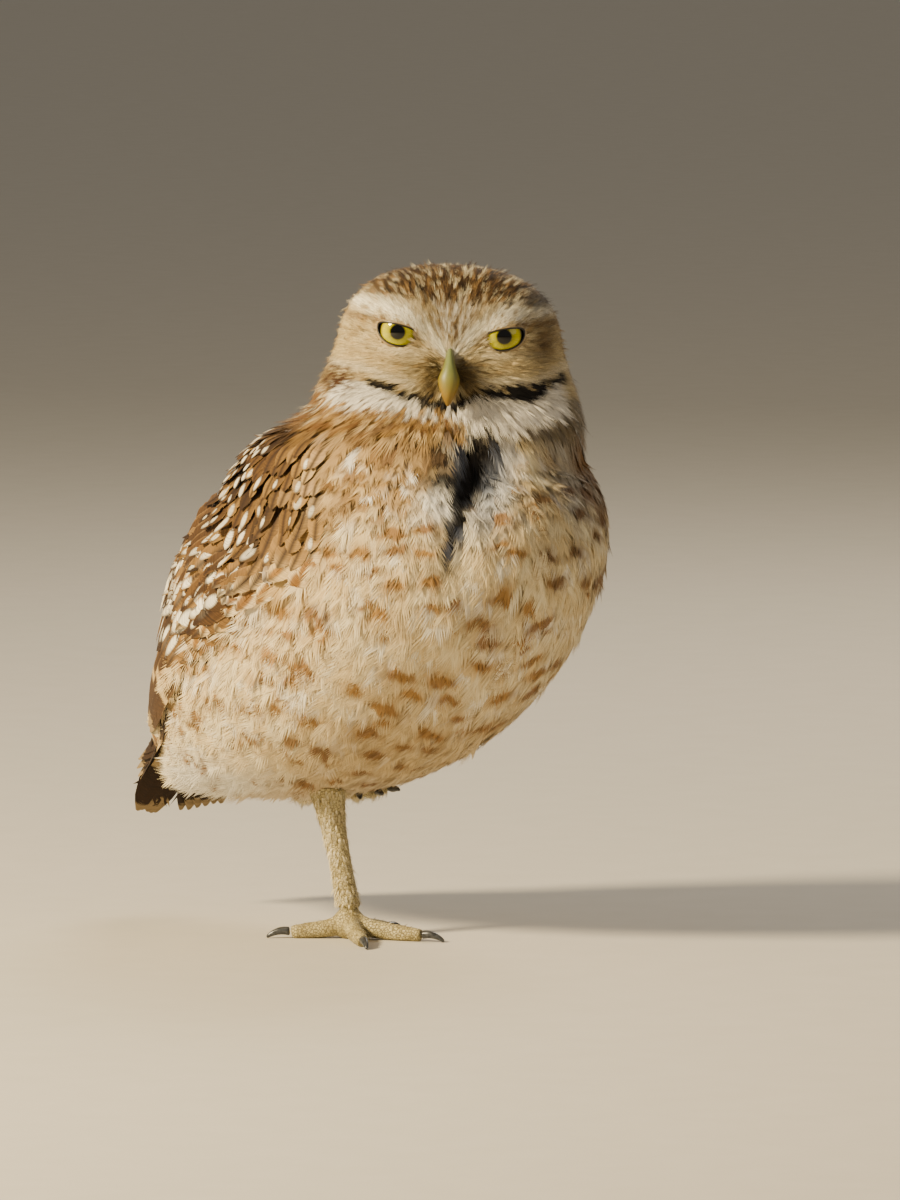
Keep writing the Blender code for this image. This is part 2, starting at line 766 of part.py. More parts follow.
def make_eyes(material, owl):
    for name, side in (("eye_right", -1), ("eye_left", 1)):
        eye = ball(name, (0, 0, 0), EYE_RADIUS, owl)
        turn = Matrix.Rotation(math.radians(90), 4, "X")
        frame = head_frame() @ Matrix.Translation(eye_centre(side))
        eye.data.transform(frame @ Matrix.Rotation(side * EYE_OUTWARD, 4, "Z") @ turn)
        eye.data.materials.append(material)


def make_bill(material, owl):
    upper = loft("bill_upper", bill_rings(BILL_UPPER, 0.0), owl)
    for side in (-1, 1):
        centre = Vector((side * NOSTRIL_PLACE[0], -NOSTRIL_PLACE[1], NOSTRIL_PLACE[2]))
        combine(upper, ball("nostril", centre, NOSTRIL_RADIUS, owl, 10, 6), "DIFFERENCE")
    lower = loft("bill_lower", bill_rings(BILL_LOWER, 0.0), owl)
    combine(lower, loft("bill_room", bill_rings(BILL_UPPER, GAP), owl), "DIFFERENCE")
    for piece in (upper, lower):
        combine(piece, head_shape("head_room", GAP, owl), "DIFFERENCE")
        finish_piece(piece, material)
        piece.data.transform(head_frame())


def toe_heading(degrees):
    turn = math.radians(degrees)
    return Vector((math.sin(turn), -math.cos(turn), 0))


def toe_tube(name, degrees, length, swell, collection, resolution=2):
    """A toe of the standing foot, or the same form swollen for cutting its claw."""
    ahead = toe_heading(degrees)
    points = [ahead * (part * length) + Vector((0, 0, height)) for part, height, _ in TOE_LINE]
    radii = [radius + swell for _, _, radius in TOE_LINE]
    return tube(name, points, radii, collection, resolution)


def cut_level(thing, level, collection, keep_above=True):
    """Cuts a piece flat at a height, and keeps what lies above it or below it."""
    half = 0.2 if keep_above else -0.2
    corners = ((-0.2, -0.2), (0.2, -0.2), (0.2, 0.2), (-0.2, 0.2))
    near = [Vector((x, y, level)) for x, y in corners]
    far = [Vector((x, y, level - half)) for x, y in corners]
    combine(thing, loft("beyond_level", [near, far], collection), "DIFFERENCE")


def leg_tube(name, rows, collection):
    points = [place_ahead(*row[:3]) for row in rows]
    return tube(name, points, [row[3] for row in rows], collection, 3)


def make_standing_claw(name, degrees, length, horn, owl):
    ahead = toe_heading(degrees)
    root = ahead * (length - CLAW_ROOT_DEPTH) + Vector((0, 0, TOE_LINE[-1][1]))
    points = [root + ahead * (CLAW_LENGTH * part) + Vector((0, 0, rise)) for part, rise, _ in CLAW_LINE]
    claw = tube(f"claw_right_{name}", points, [row[2] for row in CLAW_LINE], owl)
    cut_level(claw, 0.0, owl)
    combine(claw, toe_tube("toe_room", degrees, length + GAP, GAP, owl), "DIFFERENCE")
    finish_piece(claw, horn)


def make_standing_leg(skin, horn, owl, loose):
    thigh = leg_tube("thigh_right", THIGH, owl)
    combine(thigh, torso_shape("torso_room", GAP, owl), "DIFFERENCE")
    keep_largest(thigh)
    tarsus = leg_tube("tarsus_right", TARSUS, owl)
    foot = ball("foot_right", (0.0, 0.0, FOOT_BALL_HEIGHT), FOOT_BALL_RADIUS, owl, 14, 10)
    for name, degrees, length in TOES:
        toe_tube(name, degrees, length, 0.0, loose)
    combine(foot, loose, "UNION")
    cut_level(foot, 0.0, owl)
    cut_level(foot, FOOT_TOP, owl, False)
    cut_level(tarsus, FOOT_TOP + GAP, owl)
    cut_level(tarsus, HEEL_LEVEL, owl, False)
    cut_level(thigh, HEEL_LEVEL + GAP, owl)
    for piece in (thigh, tarsus, foot):
        finish_piece(piece, skin)
    for name, degrees, length in TOES:
        make_standing_claw(name, degrees, length, horn, owl)


def belly_height(ahead, side):
    """How high the underside of the torso is over a place on the floor."""
    best, height = 1.0, 0.0
    for level in range(8 * (len(BODY_RINGS) - 1)):
        for angle in range(100, 181, 2):
            point = ring_point(BODY_RINGS, level / 8, angle if side > MIDLINE else -angle)
            off = math.hypot(point.x - side, -point.y - ahead)
            if off < best:
                best, height = off, point.z
    return height


def under_belly(ahead, side, depth):
    return place_ahead(ahead, side, belly_height(ahead, side) - depth)


def make_tucked_leg(skin, horn, owl, loose):
    """The left leg, folded forward under the belly with its toes drawn together."""
    heel = under_belly(*TUCKED_HEEL, 0.0)
    knuckle = under_belly(*TUCKED_BALL, -TUCKED_RISE)
    ahead = (knuckle - heel).normalized()
    middle = (heel + knuckle) / 2
    radii = (TUCKED_HEEL_RADIUS, TUCKED_RADIUS, TUCKED_RADIUS)
    ends = [knuckle - ahead * TUCKED_SHANK_END, knuckle - ahead * (TUCKED_SHANK_END - GAP)]
    tarsus = tube("tarsus_left", (heel, middle, ends[0]), radii, owl, 3)
    foot = ball("foot_left", knuckle, TUCKED_BALL_RADIUS, owl, 14, 10)
    claws = []
    for (name, _, _), degrees in zip(TOES, TUCKED_TOES):
        turn = math.radians(degrees)
        line = []
        for reach, depth, _ in TUCKED_TOE_LINE + TUCKED_CLAW_LINE:
            side = TUCKED_BALL[1] + reach * math.sin(turn)
            line.append(under_belly(TUCKED_BALL[0] + reach * math.cos(turn), side, depth))
        count = len(TUCKED_TOE_LINE)
        toe_radii = [TUCKED_TOE_LINE[0][2]] + [row[2] for row in TUCKED_TOE_LINE]
        tube("tucked_toe", [knuckle] + line[:count], toe_radii, loose)
        claws.append((name, line[count:]))
    combine(foot, loose, "UNION", "MANIFOLD")
    for piece in (tarsus, foot):
        combine(piece, torso_shape("torso_room", GAP, owl), "DIFFERENCE", "MANIFOLD")
    room = tube("tarsus_room", (heel, middle, ends[1]), [r + GAP for r in radii], owl, 3)
    combine(foot, room, "DIFFERENCE")
    for piece in (tarsus, foot):
        finish_piece(piece, skin)
    for name, points in claws:
        claw = tube(f"claw_left_{name}", points, [row[2] for row in TUCKED_CLAW_LINE], owl)
        combine(claw, torso_shape("torso_room", GAP, owl), "DIFFERENCE", "MANIFOLD")
        finish_piece(claw, horn)


def main():
    clear_scene()
    owl = new_collection("burrowing_owl")
    loose = new_collection("loose_pieces")
    cream = new_material("breast_feathers", "E3D3B8", 0.85)
    brown = new_material("wing_feathers", "8A6238", 0.8)
    tan = new_material("head_feathers", "B98A55", 0.85)
    dark = new_material("tail_feathers", "4A2F1C", 0.8)
    yellow = new_material("eye", "D4CF1F", 0.1)
    olive = new_material("bill", "A79A3E", 0.4)
    khaki = new_material("leg_skin", "B5A76E", 0.7)
    horn = new_material("claw_horn", "3A3C3E", 0.35)
    make_torso(cream, owl)
    make_neck(cream, owl)
    make_head(tan, owl, loose)
    make_eyes(yellow, owl)
    make_bill(olive, owl)
    make_wing("wing_right", -1, brown, owl, loose)
    make_wing("wing_left", 1, brown, owl, loose)
    make_tail(dark, owl, loose)
    make_standing_leg(khaki, horn, owl, loose)
    make_tucked_leg(khaki, horn, owl, loose)
    bpy.data.collections.remove(loose)


main()
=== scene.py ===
"""The looks of the burrowing owl: skin, coat of feathers, eyes, bill, leg and claws around the fixed frame.

The owl faces -Y, its left side is +X, and the floor is z = 0. All sizes are in metres unless a name says
otherwise. A feather's places are: across it from -1 to 1, along it from 0 at its root to 1 at its tip.
"""

import math
import random
from functools import partial

import bmesh
import bpy
import numpy as np
from mathutils import Matrix, Vector
from mathutils.bvhtree import BVHTree
from mathutils.kdtree import KDTree


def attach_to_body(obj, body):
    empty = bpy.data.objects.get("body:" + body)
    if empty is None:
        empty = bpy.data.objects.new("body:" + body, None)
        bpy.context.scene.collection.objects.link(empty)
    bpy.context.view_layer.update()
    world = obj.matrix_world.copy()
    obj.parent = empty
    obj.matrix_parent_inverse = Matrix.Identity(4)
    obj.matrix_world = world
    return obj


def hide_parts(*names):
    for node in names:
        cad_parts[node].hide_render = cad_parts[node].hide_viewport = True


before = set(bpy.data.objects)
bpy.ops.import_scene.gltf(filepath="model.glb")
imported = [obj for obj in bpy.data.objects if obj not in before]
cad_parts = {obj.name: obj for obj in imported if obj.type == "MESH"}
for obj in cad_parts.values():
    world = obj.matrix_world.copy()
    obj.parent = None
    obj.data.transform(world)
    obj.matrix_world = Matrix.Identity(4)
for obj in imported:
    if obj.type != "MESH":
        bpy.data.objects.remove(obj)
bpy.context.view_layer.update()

SPARSE = 1.0

# The photo's view: its size in pixels, a pixel's size at the owl, and the pixel of the standing foot.
IMAGE_SIZE = (900, 1200)
PIXEL = 0.000311
FOOT_PIXEL = (349, 938)
VIEW_TURN = math.radians(-38)
VIEW_RISE = math.radians(5)
VIEW_DISTANCE = 4.0
SENSOR = 36.0

# The torso's slanted rings: back ahead, back height, breast ahead, breast height, half width.
MIDLINE = 0.007
BODY_RINGS = (
    (-0.0302, 0.1520, 0.0778, 0.1500, 0.0496),
    (-0.0392, 0.1390, 0.0863, 0.1370, 0.0550),
    (-0.0462, 0.1260, 0.0883, 0.1220, 0.0555),
    (-0.0542, 0.1120, 0.0823, 0.1060, 0.0555),
    (-0.0612, 0.0990, 0.0713, 0.0900, 0.0545),
    (-0.0682, 0.0870, 0.0558, 0.0745, 0.0515),
    (-0.0742, 0.0760, 0.0373, 0.0615, 0.0470),
    (-0.0792, 0.0660, 0.0153, 0.0510, 0.0415),
    (-0.0822, 0.0570, -0.0092, 0.0445, 0.0350),
    (-0.0842, 0.0490, -0.0352, 0.0418, 0.0270),
    (-0.0852, 0.0440, -0.0602, 0.0402, 0.0185),
)
BACK_FULLNESS = 2.3
BREAST_FULLNESS = 2.1
PARTING_ANGLES = (-165, -153, -150, -150)
PARTING_LENGTH = 2.6
PARTING_DEPTH = 0.0030

# The folded wing, as ring number and angle from the back along its two edges.
WING_RINGS = BODY_RINGS[:9] + (
    (-0.0922, 0.0510, -0.0412, 0.0380, 0.0320),
    (-0.0992, 0.0430, -0.0662, 0.0310, 0.0235),
)
UPPER_EDGE = ((0.7, 50), (2.6, 28), (5.0, 20), (7.6, 20), (10.0, 26))
LOWER_EDGE = ((2.2, 114), (3.2, 98), (4.6, 76), (6.9, 60), (10.0, 41))
WING_FRONT_TAPER = 0.22

TAIL_ROOT = (-0.0722, 0.0850)
TAIL_TIP = (-0.1017, 0.0340)
TAIL_SPREAD = math.radians(13)
TAIL_STEP = 0.0009

# The head's own frame, and the places in it, with the face towards -Y.
HEAD_AHEAD = 0.0368
HEAD_SIDE = 0.010
HEAD_TURN = math.radians(-38)
HEAD_TILT = math.radians(2.6)
HEAD_BASE = 0.1660
EYE_SIDE = 0.0152
EYE_HEIGHT = 0.1915
EYE_DEPTH = 0.0197
EYE_RADIUS = 0.0082
EYE_OUTWARD = math.radians(8)
LID_HALF_WIDTH = 0.0058
LID_OUTWARD = 0.0005
LID_TOP = 0.0022
LID_BOTTOM = 0.0039
LID_SLOPE = 0.16

# The most places tried for the coats' roots, and how finely the skins are built.
COAT_TRIES = 160000
LEG_TRIES = 30000
SKIN_GRAIN = 0.0015
LEG_GRAIN = 0.0006
EYE_COVER = 0.0005

BRISTLE_COUNT = 460
SOLE_GAP = 0.0001
TIP_LIFT_MOST = 0.0032
LAMP_AIM = Vector((0, -0.01, 0.11))

# A vane's count of barb lines, the half width at which it has its full relief, and its patch in the bake map.
BARBS = 18
FULL_HALF = 0.004
MAP_PATCH = (0.0015, 0.003)

# About how far one ring lies from the next down the torso, in millimetres.
RING_DEPTH = 15

STANDING_NODES = ("thigh_right", "tarsus_right", "foot_right")
TUCKED_NODES = ("tarsus_left", "foot_left")
BODY_NODES = ("torso", "neck", "head")
SIDES = ((-1, "right"), (1, "left"))


# Colours

def linear(value):
    return value / 12.92 if value <= 0.04045 else ((value + 0.055) / 1.055) ** 2.4


def colour(hex_colour):
    return (*(linear(int(hex_colour[i : i + 2], 16) / 255) for i in (0, 2, 4)), 1.0)


def smooth(value, low, high):
    """0 below the low value, 1 above the high one, with an even turn between them."""
    part = np.clip((value - low) / (high - low), 0, 1)
    return part * part * (3 - 2 * part)


def mix(first, second, weight):
    return first * (1 - weight) + second * weight


def between(ends, part):
    return ends[0] + (ends[1] - ends[0]) * part


def bump_at(value, centre, half):
    """1 at the centre, falling off evenly to both sides."""
    return np.exp(-(((value - centre) / half) ** 2))


def plain(hex_colour, count):
    """An array of one colour."""
    return np.tile(np.array(colour(hex_colour)[:3]), (count, 1))


def paint(colours, *layers):
    """Blends hex colours into an array of colours one after another, each by its own weights."""
    for hex_colour, weight in layers:
        colours = mix(colours, np.array(colour(hex_colour)[:3]), np.clip(weight, 0, 1)[:, None])
    return colours


# Materials

def add_node(tree, kind, inputs=None, output=0, **settings):
    """Adds a node with its settings, and its inputs as values or sockets to link. Gives an output, or all."""
    node = tree.nodes.new(kind if "Node" in kind else "ShaderNode" + kind)
    for name, value in settings.items():
        setattr(node, name, value)
    for name, value in (inputs or {}).items():
        if isinstance(value, bpy.types.NodeSocket):
            tree.links.new(value, node.inputs[name])
        else:
            node.inputs[name].default_value = value
    return node.outputs if output is None else node.outputs[output]


def set_ramp(output, stops):
    """Sets a ramp's stops, each a place and a grey level or hex colour."""
    ramp = output.node.color_ramp
    while len(ramp.elements) > 1:
        ramp.elements.remove(ramp.elements[-1])
    for i, (place, level) in enumerate(stops):
        element = ramp.elements.new(place) if i else ramp.elements[0]
        element.position = place
        element.color = colour(level) if isinstance(level, str) else (level, level, level, 1.0)
    return output


def new_material(name, roughness, **inputs):
    """A material, the call that adds a node to it, and its shader."""
    material = bpy.data.materials.new(name)
    material.use_nodes = True
    shader = material.node_tree.nodes["Principled BSDF"]
    shader.inputs["Roughness"].default_value = roughness
    for key, value in inputs.items():
        shader.inputs[key.replace("_", " ")].default_value = value
    return material, partial(add_node, material.node_tree), shader


def finish(shader, tone, height=None, strength=0.0, distance=0.0002):
    """Gives a shader its base colour, and a fine relief where a height is named."""
    tree = shader.id_data
    tree.links.new(tone, shader.inputs["Base Color"])
    if height is not None:
        relief = add_node(tree, "Bump", {"Height": height, "Strength": strength, "Distance": distance})
        tree.links.new(relief, shader.inputs["Normal"])


def object_noise(add, scale, detail=2.0):
    """Soft noise that stays with the piece."""
    place = add("TexCoord", output="Object")
    return add("TexNoise", {"Vector": place, "Scale": scale, "Detail": detail}, "Fac")


def mottle(add, scale, stops, detail=2.0):
    """A colour that wanders between the stops over a piece, and the noise that it follows."""
    noise = object_noise(add, scale, detail)
    return set_ramp(add("ValToRGB", {"Fac": noise}), stops), noise


def lighten(add, tone, value, dark, bright, start=0.0, end=1.0):
    """A colour times a brightness, which goes from dark to bright as the value goes from start to end."""
    light = {"Value": value, "From Min": start, "From Max": end, "To Min": dark, "To Max": bright}
    return add("VectorMath", {0: tone, 3: add("MapRange", light)}, operation="SCALE")


def strand_noise(add, vane, draw, scale):
    """A vane's places, and a value for each barb or strand: the same along it, but not the next one's."""
    parts = add("SeparateXYZ", {"Vector": vane}, None)
    barb = add("Math", {0: parts["Z"], 1: scale}, operation="MULTIPLY")
    turn = add("Math", {0: draw, 1: 57.0}, operation="MULTIPLY")
    flow = add("Math", {0: parts["Y"], 1: 1.5}, operation="MULTIPLY")
    line = add("CombineXYZ", {"X": barb, "Y": flow, "Z": turn})
    return parts, add("TexNoise", {"Vector": line, "Scale": 1.0, "Detail": 2.0}, "Fac")


def cell_spots(add, place, strand, presence, cell, half):
    """Scattered bars in millimetres, one to a cell, with edges frayed along the barbs and a soft halo."""
    parts = add("SeparateXYZ", {"Vector": place}, None)
    fray = add("Math", {0: strand, 1: 4.0, 2: parts["Y"]}, operation="MULTIPLY_ADD")
    flat = add("CombineXYZ", {"X": parts["X"], "Y": fray})
    wander = add("TexNoise", {"Vector": flat, "Scale": 0.16, "Detail": 2.0}, "Color")
    wander = add("VectorMath", {0: wander, 3: 5.0}, operation="SCALE")
    moved = add("VectorMath", {0: flat, 1: wander}, operation="ADD")
    scaled = add("VectorMath", {0: moved, 1: (1 / cell[0], 1 / cell[1], 0.0)}, operation="MULTIPLY")
    cells = {"Vector": scaled, "Scale": 1.0, "Randomness": 0.8}
    cells = add("TexVoronoi", cells, None, voronoi_dimensions="2D")
    own = add("SeparateColor", {"Color": cells["Color"]}, None)
    off = add("VectorMath", {0: scaled, 1: cells["Position"]}, operation="SUBTRACT")
    sized = add("VectorMath", {0: off, 1: (cell[0] / half[0], cell[1] / half[1], 0.0)}, operation="MULTIPLY")
    both = add("SeparateXYZ", {"Vector": sized}, None)
    lean = add("MapRange", {"Value": own["Blue"], "To Min": -0.35, "To Max": 0.35})
    bent = add("Math", {0: both["X"], 1: lean, 2: both["Y"]}, operation="MULTIPLY_ADD")
    curve = add("Math", {0: both["X"], 1: both["X"]}, operation="MULTIPLY")
    bowed = add("Math", {0: curve, 1: -0.35, 2: bent}, operation="MULTIPLY_ADD")
    far = add("VectorMath", {0: add("CombineXYZ", {"X": both["X"], "Y": bowed})}, "Value", operation="LENGTH")
    size = add("MapRange", {"Value": own["Green"], "To Min": 0.6, "To Max": 1.3})
    ratio = add("Math", {0: far, 1: size}, operation="DIVIDE")
    inside = add("MapRange", {"Value": ratio, "From Min": 1.25, "From Max": 0.60, "To Max": 0.9})
    halo = add("MapRange", {"Value": ratio, "From Min": 2.4, "From Max": 0.9, "To Max": 0.38})
    total = add("Math", {0: inside, 1: halo}, operation="MAXIMUM")
    here = add("Math", {0: presence, 1: own["Red"]}, operation="GREATER_THAN")
    return add("Math", {0: total, 1: here}, operation="MULTIPLY")


# How far the barbs fray a spot's edge along the vane.
SPOT_FRAY = 0.20


def vane_spot(add, parts, strand, draw, spot):
    """A pale spot near the tip of the vane, bigger on some feathers than on others."""
    centre_across, centre_along, half_across, half_along = spot
    rough = add("Math", {0: strand, 1: SPOT_FRAY, 2: parts["Y"]}, operation="MULTIPLY_ADD")
    off = add("Math", {0: parts["X"], 1: centre_across}, operation="SUBTRACT")
    up = add("Math", {0: rough, 1: centre_along + SPOT_FRAY / 2}, operation="SUBTRACT")
    flat = add("CombineXYZ", {"X": off, "Y": up})
    scaled = add("VectorMath", {0: flat, 1: (1 / half_across, 1 / half_along, 1.0)}, operation="MULTIPLY")
    far = add("VectorMath", {0: scaled}, "Value", operation="LENGTH")
    size = add("MapRange", {"Value": draw, "To Min": 0.5, "To Max": 1.3})
    ratio = add("Math", {0: far, 1: size}, operation="DIVIDE")
    return add("MapRange", {"Value": ratio, "From Min": 1.25, "From Max": 0.7})


def feather_material(name, streak, base_grey, barb_scale, bars=None, spot=None, cells=None, shaft=0.0):
    """Keratin barbs, matt with a soft sheen. Fine streaks along the barbs catch the light as one vane.

    The barbs are several times coarser than real ones, so that they show. The marks are bars across the vane,
    one spot on it, or bars scattered over the body. A shaft value darkens its middle and pales its rim."""
    material, add, shader = new_material(
        name, 0.70, Sheen_Weight=0.06, Sheen_Roughness=0.4, Specular_IOR_Level=0.28
    )
    vane = add("Attribute", output="Vector", attribute_name="vane")
    painted = add("Attribute", output="Color", attribute_name="ground")
    mark = add("Attribute", output=None, attribute_name="mark")
    draw = add("Attribute", output="Fac", attribute_name="draw")
    parts, strand = strand_noise(add, vane, draw, barb_scale)
    layers = []
    if shaft:
        side = add("Math", {0: parts["X"]}, operation="ABSOLUTE")
        near = {"Value": side, "From Min": 0.04, "From Max": 0.42, "To Min": shaft, "To Max": 0.0}
        layers.append((add("MapRange", near), colour("2E1C10")))
        rim = {"Value": side, "From Min": 0.80, "From Max": 1.0, "To Max": 0.45}
        layers.append((add("MapRange", rim), colour("B08A58")))
    if cells:
        place = add("Attribute", output="Vector", attribute_name="spot_place")
        layers.append((cell_spots(add, place, strand, mark["Alpha"], *cells), mark["Color"]))
    if bars:
        rough = add("Math", {0: strand, 1: 0.06, 2: parts["Y"]}, operation="MULTIPLY_ADD")
        shift = add("Math", {0: draw, 1: 0.05, 2: rough}, operation="MULTIPLY_ADD")
        pattern = set_ramp(add("ValToRGB", {"Fac": shift}), bars)
    if spot:
        pattern = vane_spot(add, parts, strand, draw, spot)
    if bars or spot:
        weight = add("Math", {0: pattern, 1: mark["Alpha"]}, operation="MULTIPLY")
        layers.append((weight, mark["Color"]))
    root = {"Value": parts["Y"], "From Min": 0.10, "From Max": 0.50, "To Min": base_grey, "To Max": 0.0}
    layers.append((add("MapRange", root), colour("6A6058")))
    for weight, tone in layers:
        painted = add("Mix", {"Factor": weight, 6: painted, 7: tone}, 2, data_type="RGBA")
    finish(shader, lighten(add, painted, strand, 1 - streak, 1 + streak * 0.5, 0.3, 0.7), strand, 0.5)
    return material


FLIGHT_BARS = (
    (0.0, 0.0), (0.31, 0.0), (0.33, 1.0), (0.355, 1.0), (0.375, 0.0), (0.51, 0.0), (0.53, 1.0), (0.555, 1.0),
    (0.575, 0.0), (0.71, 0.0), (0.73, 1.0), (0.755, 1.0), (0.775, 0.0), (0.985, 0.0), (1.0, 0.5),
)

# Kind, streaks, grey at the root, scale of the barbs, and the marks.
FEATHER_LOOKS = (
    ("face", 0.68, 0.10, 2.7, {}),
    ("crown", 0.62, 0.05, 2.7, {}),
    ("throat", 0.26, 0.2, 2.7, {}),
    ("breast", 0.26, 0.25, 5.0, {"cells": ((12.0, 9.5), (5.0, 2.2))}),
    ("belly", 0.22, 0.20, 5.0, {"cells": ((12.0, 10.5), (4.8, 2.0))}),
    ("vent", 0.22, 0.15, 5.0, {"cells": ((10.5, 9.5), (3.2, 1.4))}),
    ("mantle", 0.50, 0.1, 5.0, {"spot": (0.06, 0.80, 0.38, 0.16), "shaft": 0.85}),
    ("covert", 0.50, 0.1, 5.0, {"spot": (0.10, 0.83, 0.36, 0.11), "shaft": 0.85}),
    ("flight", 0.26, 0.0, 6.0, {"bars": FLIGHT_BARS, "shaft": 0.4}),
)


def make_feather_materials():
    return {
        kind: feather_material(f"{kind}_feather_keratin", *look, **marks)
        for kind, *look, marks in FEATHER_LOOKS
    }


def make_skin_material():
    """Thin skin under the coat: dull, with the coat's own colours, so that no bare patch shows."""
    material, add, shader = new_material("feathered_skin", 0.85)
    ground = add("Attribute", output="Color", attribute_name="ground")
    patches = object_noise(add, 420.0, 3.0)
    finish(shader, lighten(add, ground, patches, 0.55, 1.0), patches, 0.4, 0.0004)
    return material


def make_leg_material():
    """Scaly leg skin: small round scales about 0.9 mm across, khaki with darker joints between them."""
    material, add, shader = new_material("scaly_leg_skin", 0.6)
    place = add("TexCoord", output="Object")
    distance = add("TexVoronoi", {"Vector": place, "Scale": 1100.0}, "Distance", feature="DISTANCE_TO_EDGE")
    edge = add("MapRange", {"Value": distance, "From Max": 0.16})
    tone, _ = mottle(add, 180.0, ((0.3, "9A8A58"), (0.7, "CDBF8C")), 3.0)
    scales = add("Mix", {"Factor": edge, 6: colour("6E6140"), 7: tone}, 2, data_type="RGBA")
    finish(shader, scales, edge, 0.6, 0.0003)
    return material


def make_bill_material():
    """Horn of the bill: satin, olive, greyer along the ridge and amber at the tip, with growth lines."""
    material, add, shader = new_material("olive_bill_horn", 0.46, IOR=1.48)
    place = add("Attribute", output="Vector", attribute_name="bill_place")
    parts = add("SeparateXYZ", {"Vector": place}, None)
    down = set_ramp(
        add("ValToRGB", {"Fac": parts["X"]}),
        ((0.0, "4E5229"), (0.3, "62652A"), (0.55, "776E18"), (0.8, "85670F"), (1.0, "7A5814")),
    )
    ridge = add("MapRange", {"Value": parts["Y"], "From Min": 0.55, "From Max": 0.98, "To Max": 0.75})
    fade = {"Value": parts["X"], "From Min": 0.45, "From Max": 0.85, "To Min": 1.0, "To Max": 0.1}
    top = add("Math", {0: ridge, 1: add("MapRange", fade)}, operation="MULTIPLY")
    pale = add("Mix", {"Factor": top, 6: down, 7: colour("727F50")}, 2, data_type="RGBA")
    long = add("Mapping", {"Vector": add("TexCoord", output="Object"), "Scale": (900.0, 900.0, 160.0)})
    grain = add("TexNoise", {"Vector": long, "Scale": 1.0, "Detail": 3.0}, "Fac")
    finish(shader, lighten(add, pale, grain, 0.78, 1.14), grain, 0.15)
    return material


def make_claw_material():
    """Claw horn: dark grey, glossy, a little paler in patches."""
    material, add, shader = new_material("grey_claw_horn", 0.28, IOR=1.55)
    finish(shader, *mottle(add, 900.0, ((0.3, "232426"), (0.7, "4A4C50")), 3.0), 0.2)
    return material


def make_eye_material():
    """Wet cornea over a lemon-yellow iris: mirror-smooth, with fine fibres running out from a black pupil."""
    material, add, shader = new_material(
        "wet_yellow_eye", 0.05, IOR=1.38, Coat_Weight=0.3, Coat_Roughness=0.02
    )
    place = add("Attribute", output="Vector", attribute_name="eye_place")
    parts = add("SeparateXYZ", {"Vector": place}, None)
    turned = add("CombineXYZ", {"X": parts["Y"], "Y": parts["Z"], "Z": parts["X"]})
    scaled = add("Mapping", {"Vector": turned, "Scale": (22.0, 22.0, 1.5)})
    fibre = add("TexNoise", {"Vector": scaled, "Scale": 1.0, "Detail": 2.0}, "Fac")
    rough = add("Math", {0: fibre, 1: 0.03, 2: parts["X"]}, operation="MULTIPLY_ADD")
    rings = set_ramp(
        add("ValToRGB", {"Fac": rough}),
        ((0.0, "010101"), (0.268, "030302"), (0.285, "3E3A04"), (0.34, "969000"), (0.48, "BAB400"),
         (0.62, "C4BC00"), (0.72, "8F8404"), (0.78, "1E1A03"), (0.84, "060503")),
    )
    finish(shader, lighten(add, rings, fibre, 0.78, 1.1, 0.3, 0.7))
    return material


def make_lid_material():
    """Lid skin: black and damp at the rim, dull and brown farther out, where tiny feathers cover it."""
    material, add, shader = new_material("black_lid_skin", 0.38)
    rim = add("Attribute", output="Fac", attribute_name="rim")
    black, crease = mottle(add, 1500.0, ((0.3, "050403"), (0.75, "18110C")))
    tone = add("Mix", {"Factor": rim, 6: black, 7: colour("BFA67A")}, 2, data_type="RGBA")
    finish(shader, tone, crease, 0.4)
    return material


def make_bristle_material():
    """Bare feather shafts round the bill: stiff, dark, with a slight gloss."""
    material, add, shader = new_material("dark_bristle_keratin", 0.45)
    finish(shader, mottle(add, 700.0, ((0.35, "241A0E"), (0.65, "7A6438")))[0])
    return material


def make_leg_feather_material():
    """Short hair-like leg feathers: cream and khaki, matt."""
    material, add, shader = new_material("leg_down_keratin", 0.8, Sheen_Weight=0.2)
    ground = add("Attribute", output="Color", attribute_name="ground")
    draw = add("Attribute", output="Fac", attribute_name="draw")
    finish(shader, lighten(add, ground, draw, 0.7, 1.15))
    return material


# Places on the body

def spline(rows, place):
    """The row at a place along a table, on a smooth curve through its rows."""
    table = np.array(rows, float)
    place = min(max(place, 0.0), len(table) - 1.0)
    first = min(int(place), len(table) - 2)
    part = place - first
    before = table[first - 1] if first else 2 * table[0] - table[1]
    after = table[first + 2] if first + 2 < len(table) else 2 * table[-1] - table[-2]
    here, there = table[first], table[first + 1]
    bend = 2 * before - 5 * here + 4 * there - after
    turn = 3 * (here - there) + after - before
    return here + 0.5 * part * (there - before + part * bend + part * part * turn)


def rounded(value, fullness):
    return math.copysign(abs(value) ** (2 / fullness), value)


def ring_point(rings, place, angle):
    """A point of the slanted rings: angle 0 is the back, 90 the left side, -90 the right."""
    back, back_z, breast, breast_z, half_width = spline(rings, place)
    turn = math.radians(angle)
    part = (1 + math.cos(turn)) / 2
    fullness = BREAST_FULLNESS + (BACK_FULLNESS - BREAST_FULLNESS) * part
    along = rounded(math.cos(turn), fullness)
    across = rounded(math.sin(turn), fullness)
    ahead = (back + breast) / 2 + along * (back - breast) / 2
    height = (back_z + breast_z) / 2 + along * (back_z - breast_z) / 2
    return Vector((MIDLINE + across * half_width, -ahead, height))


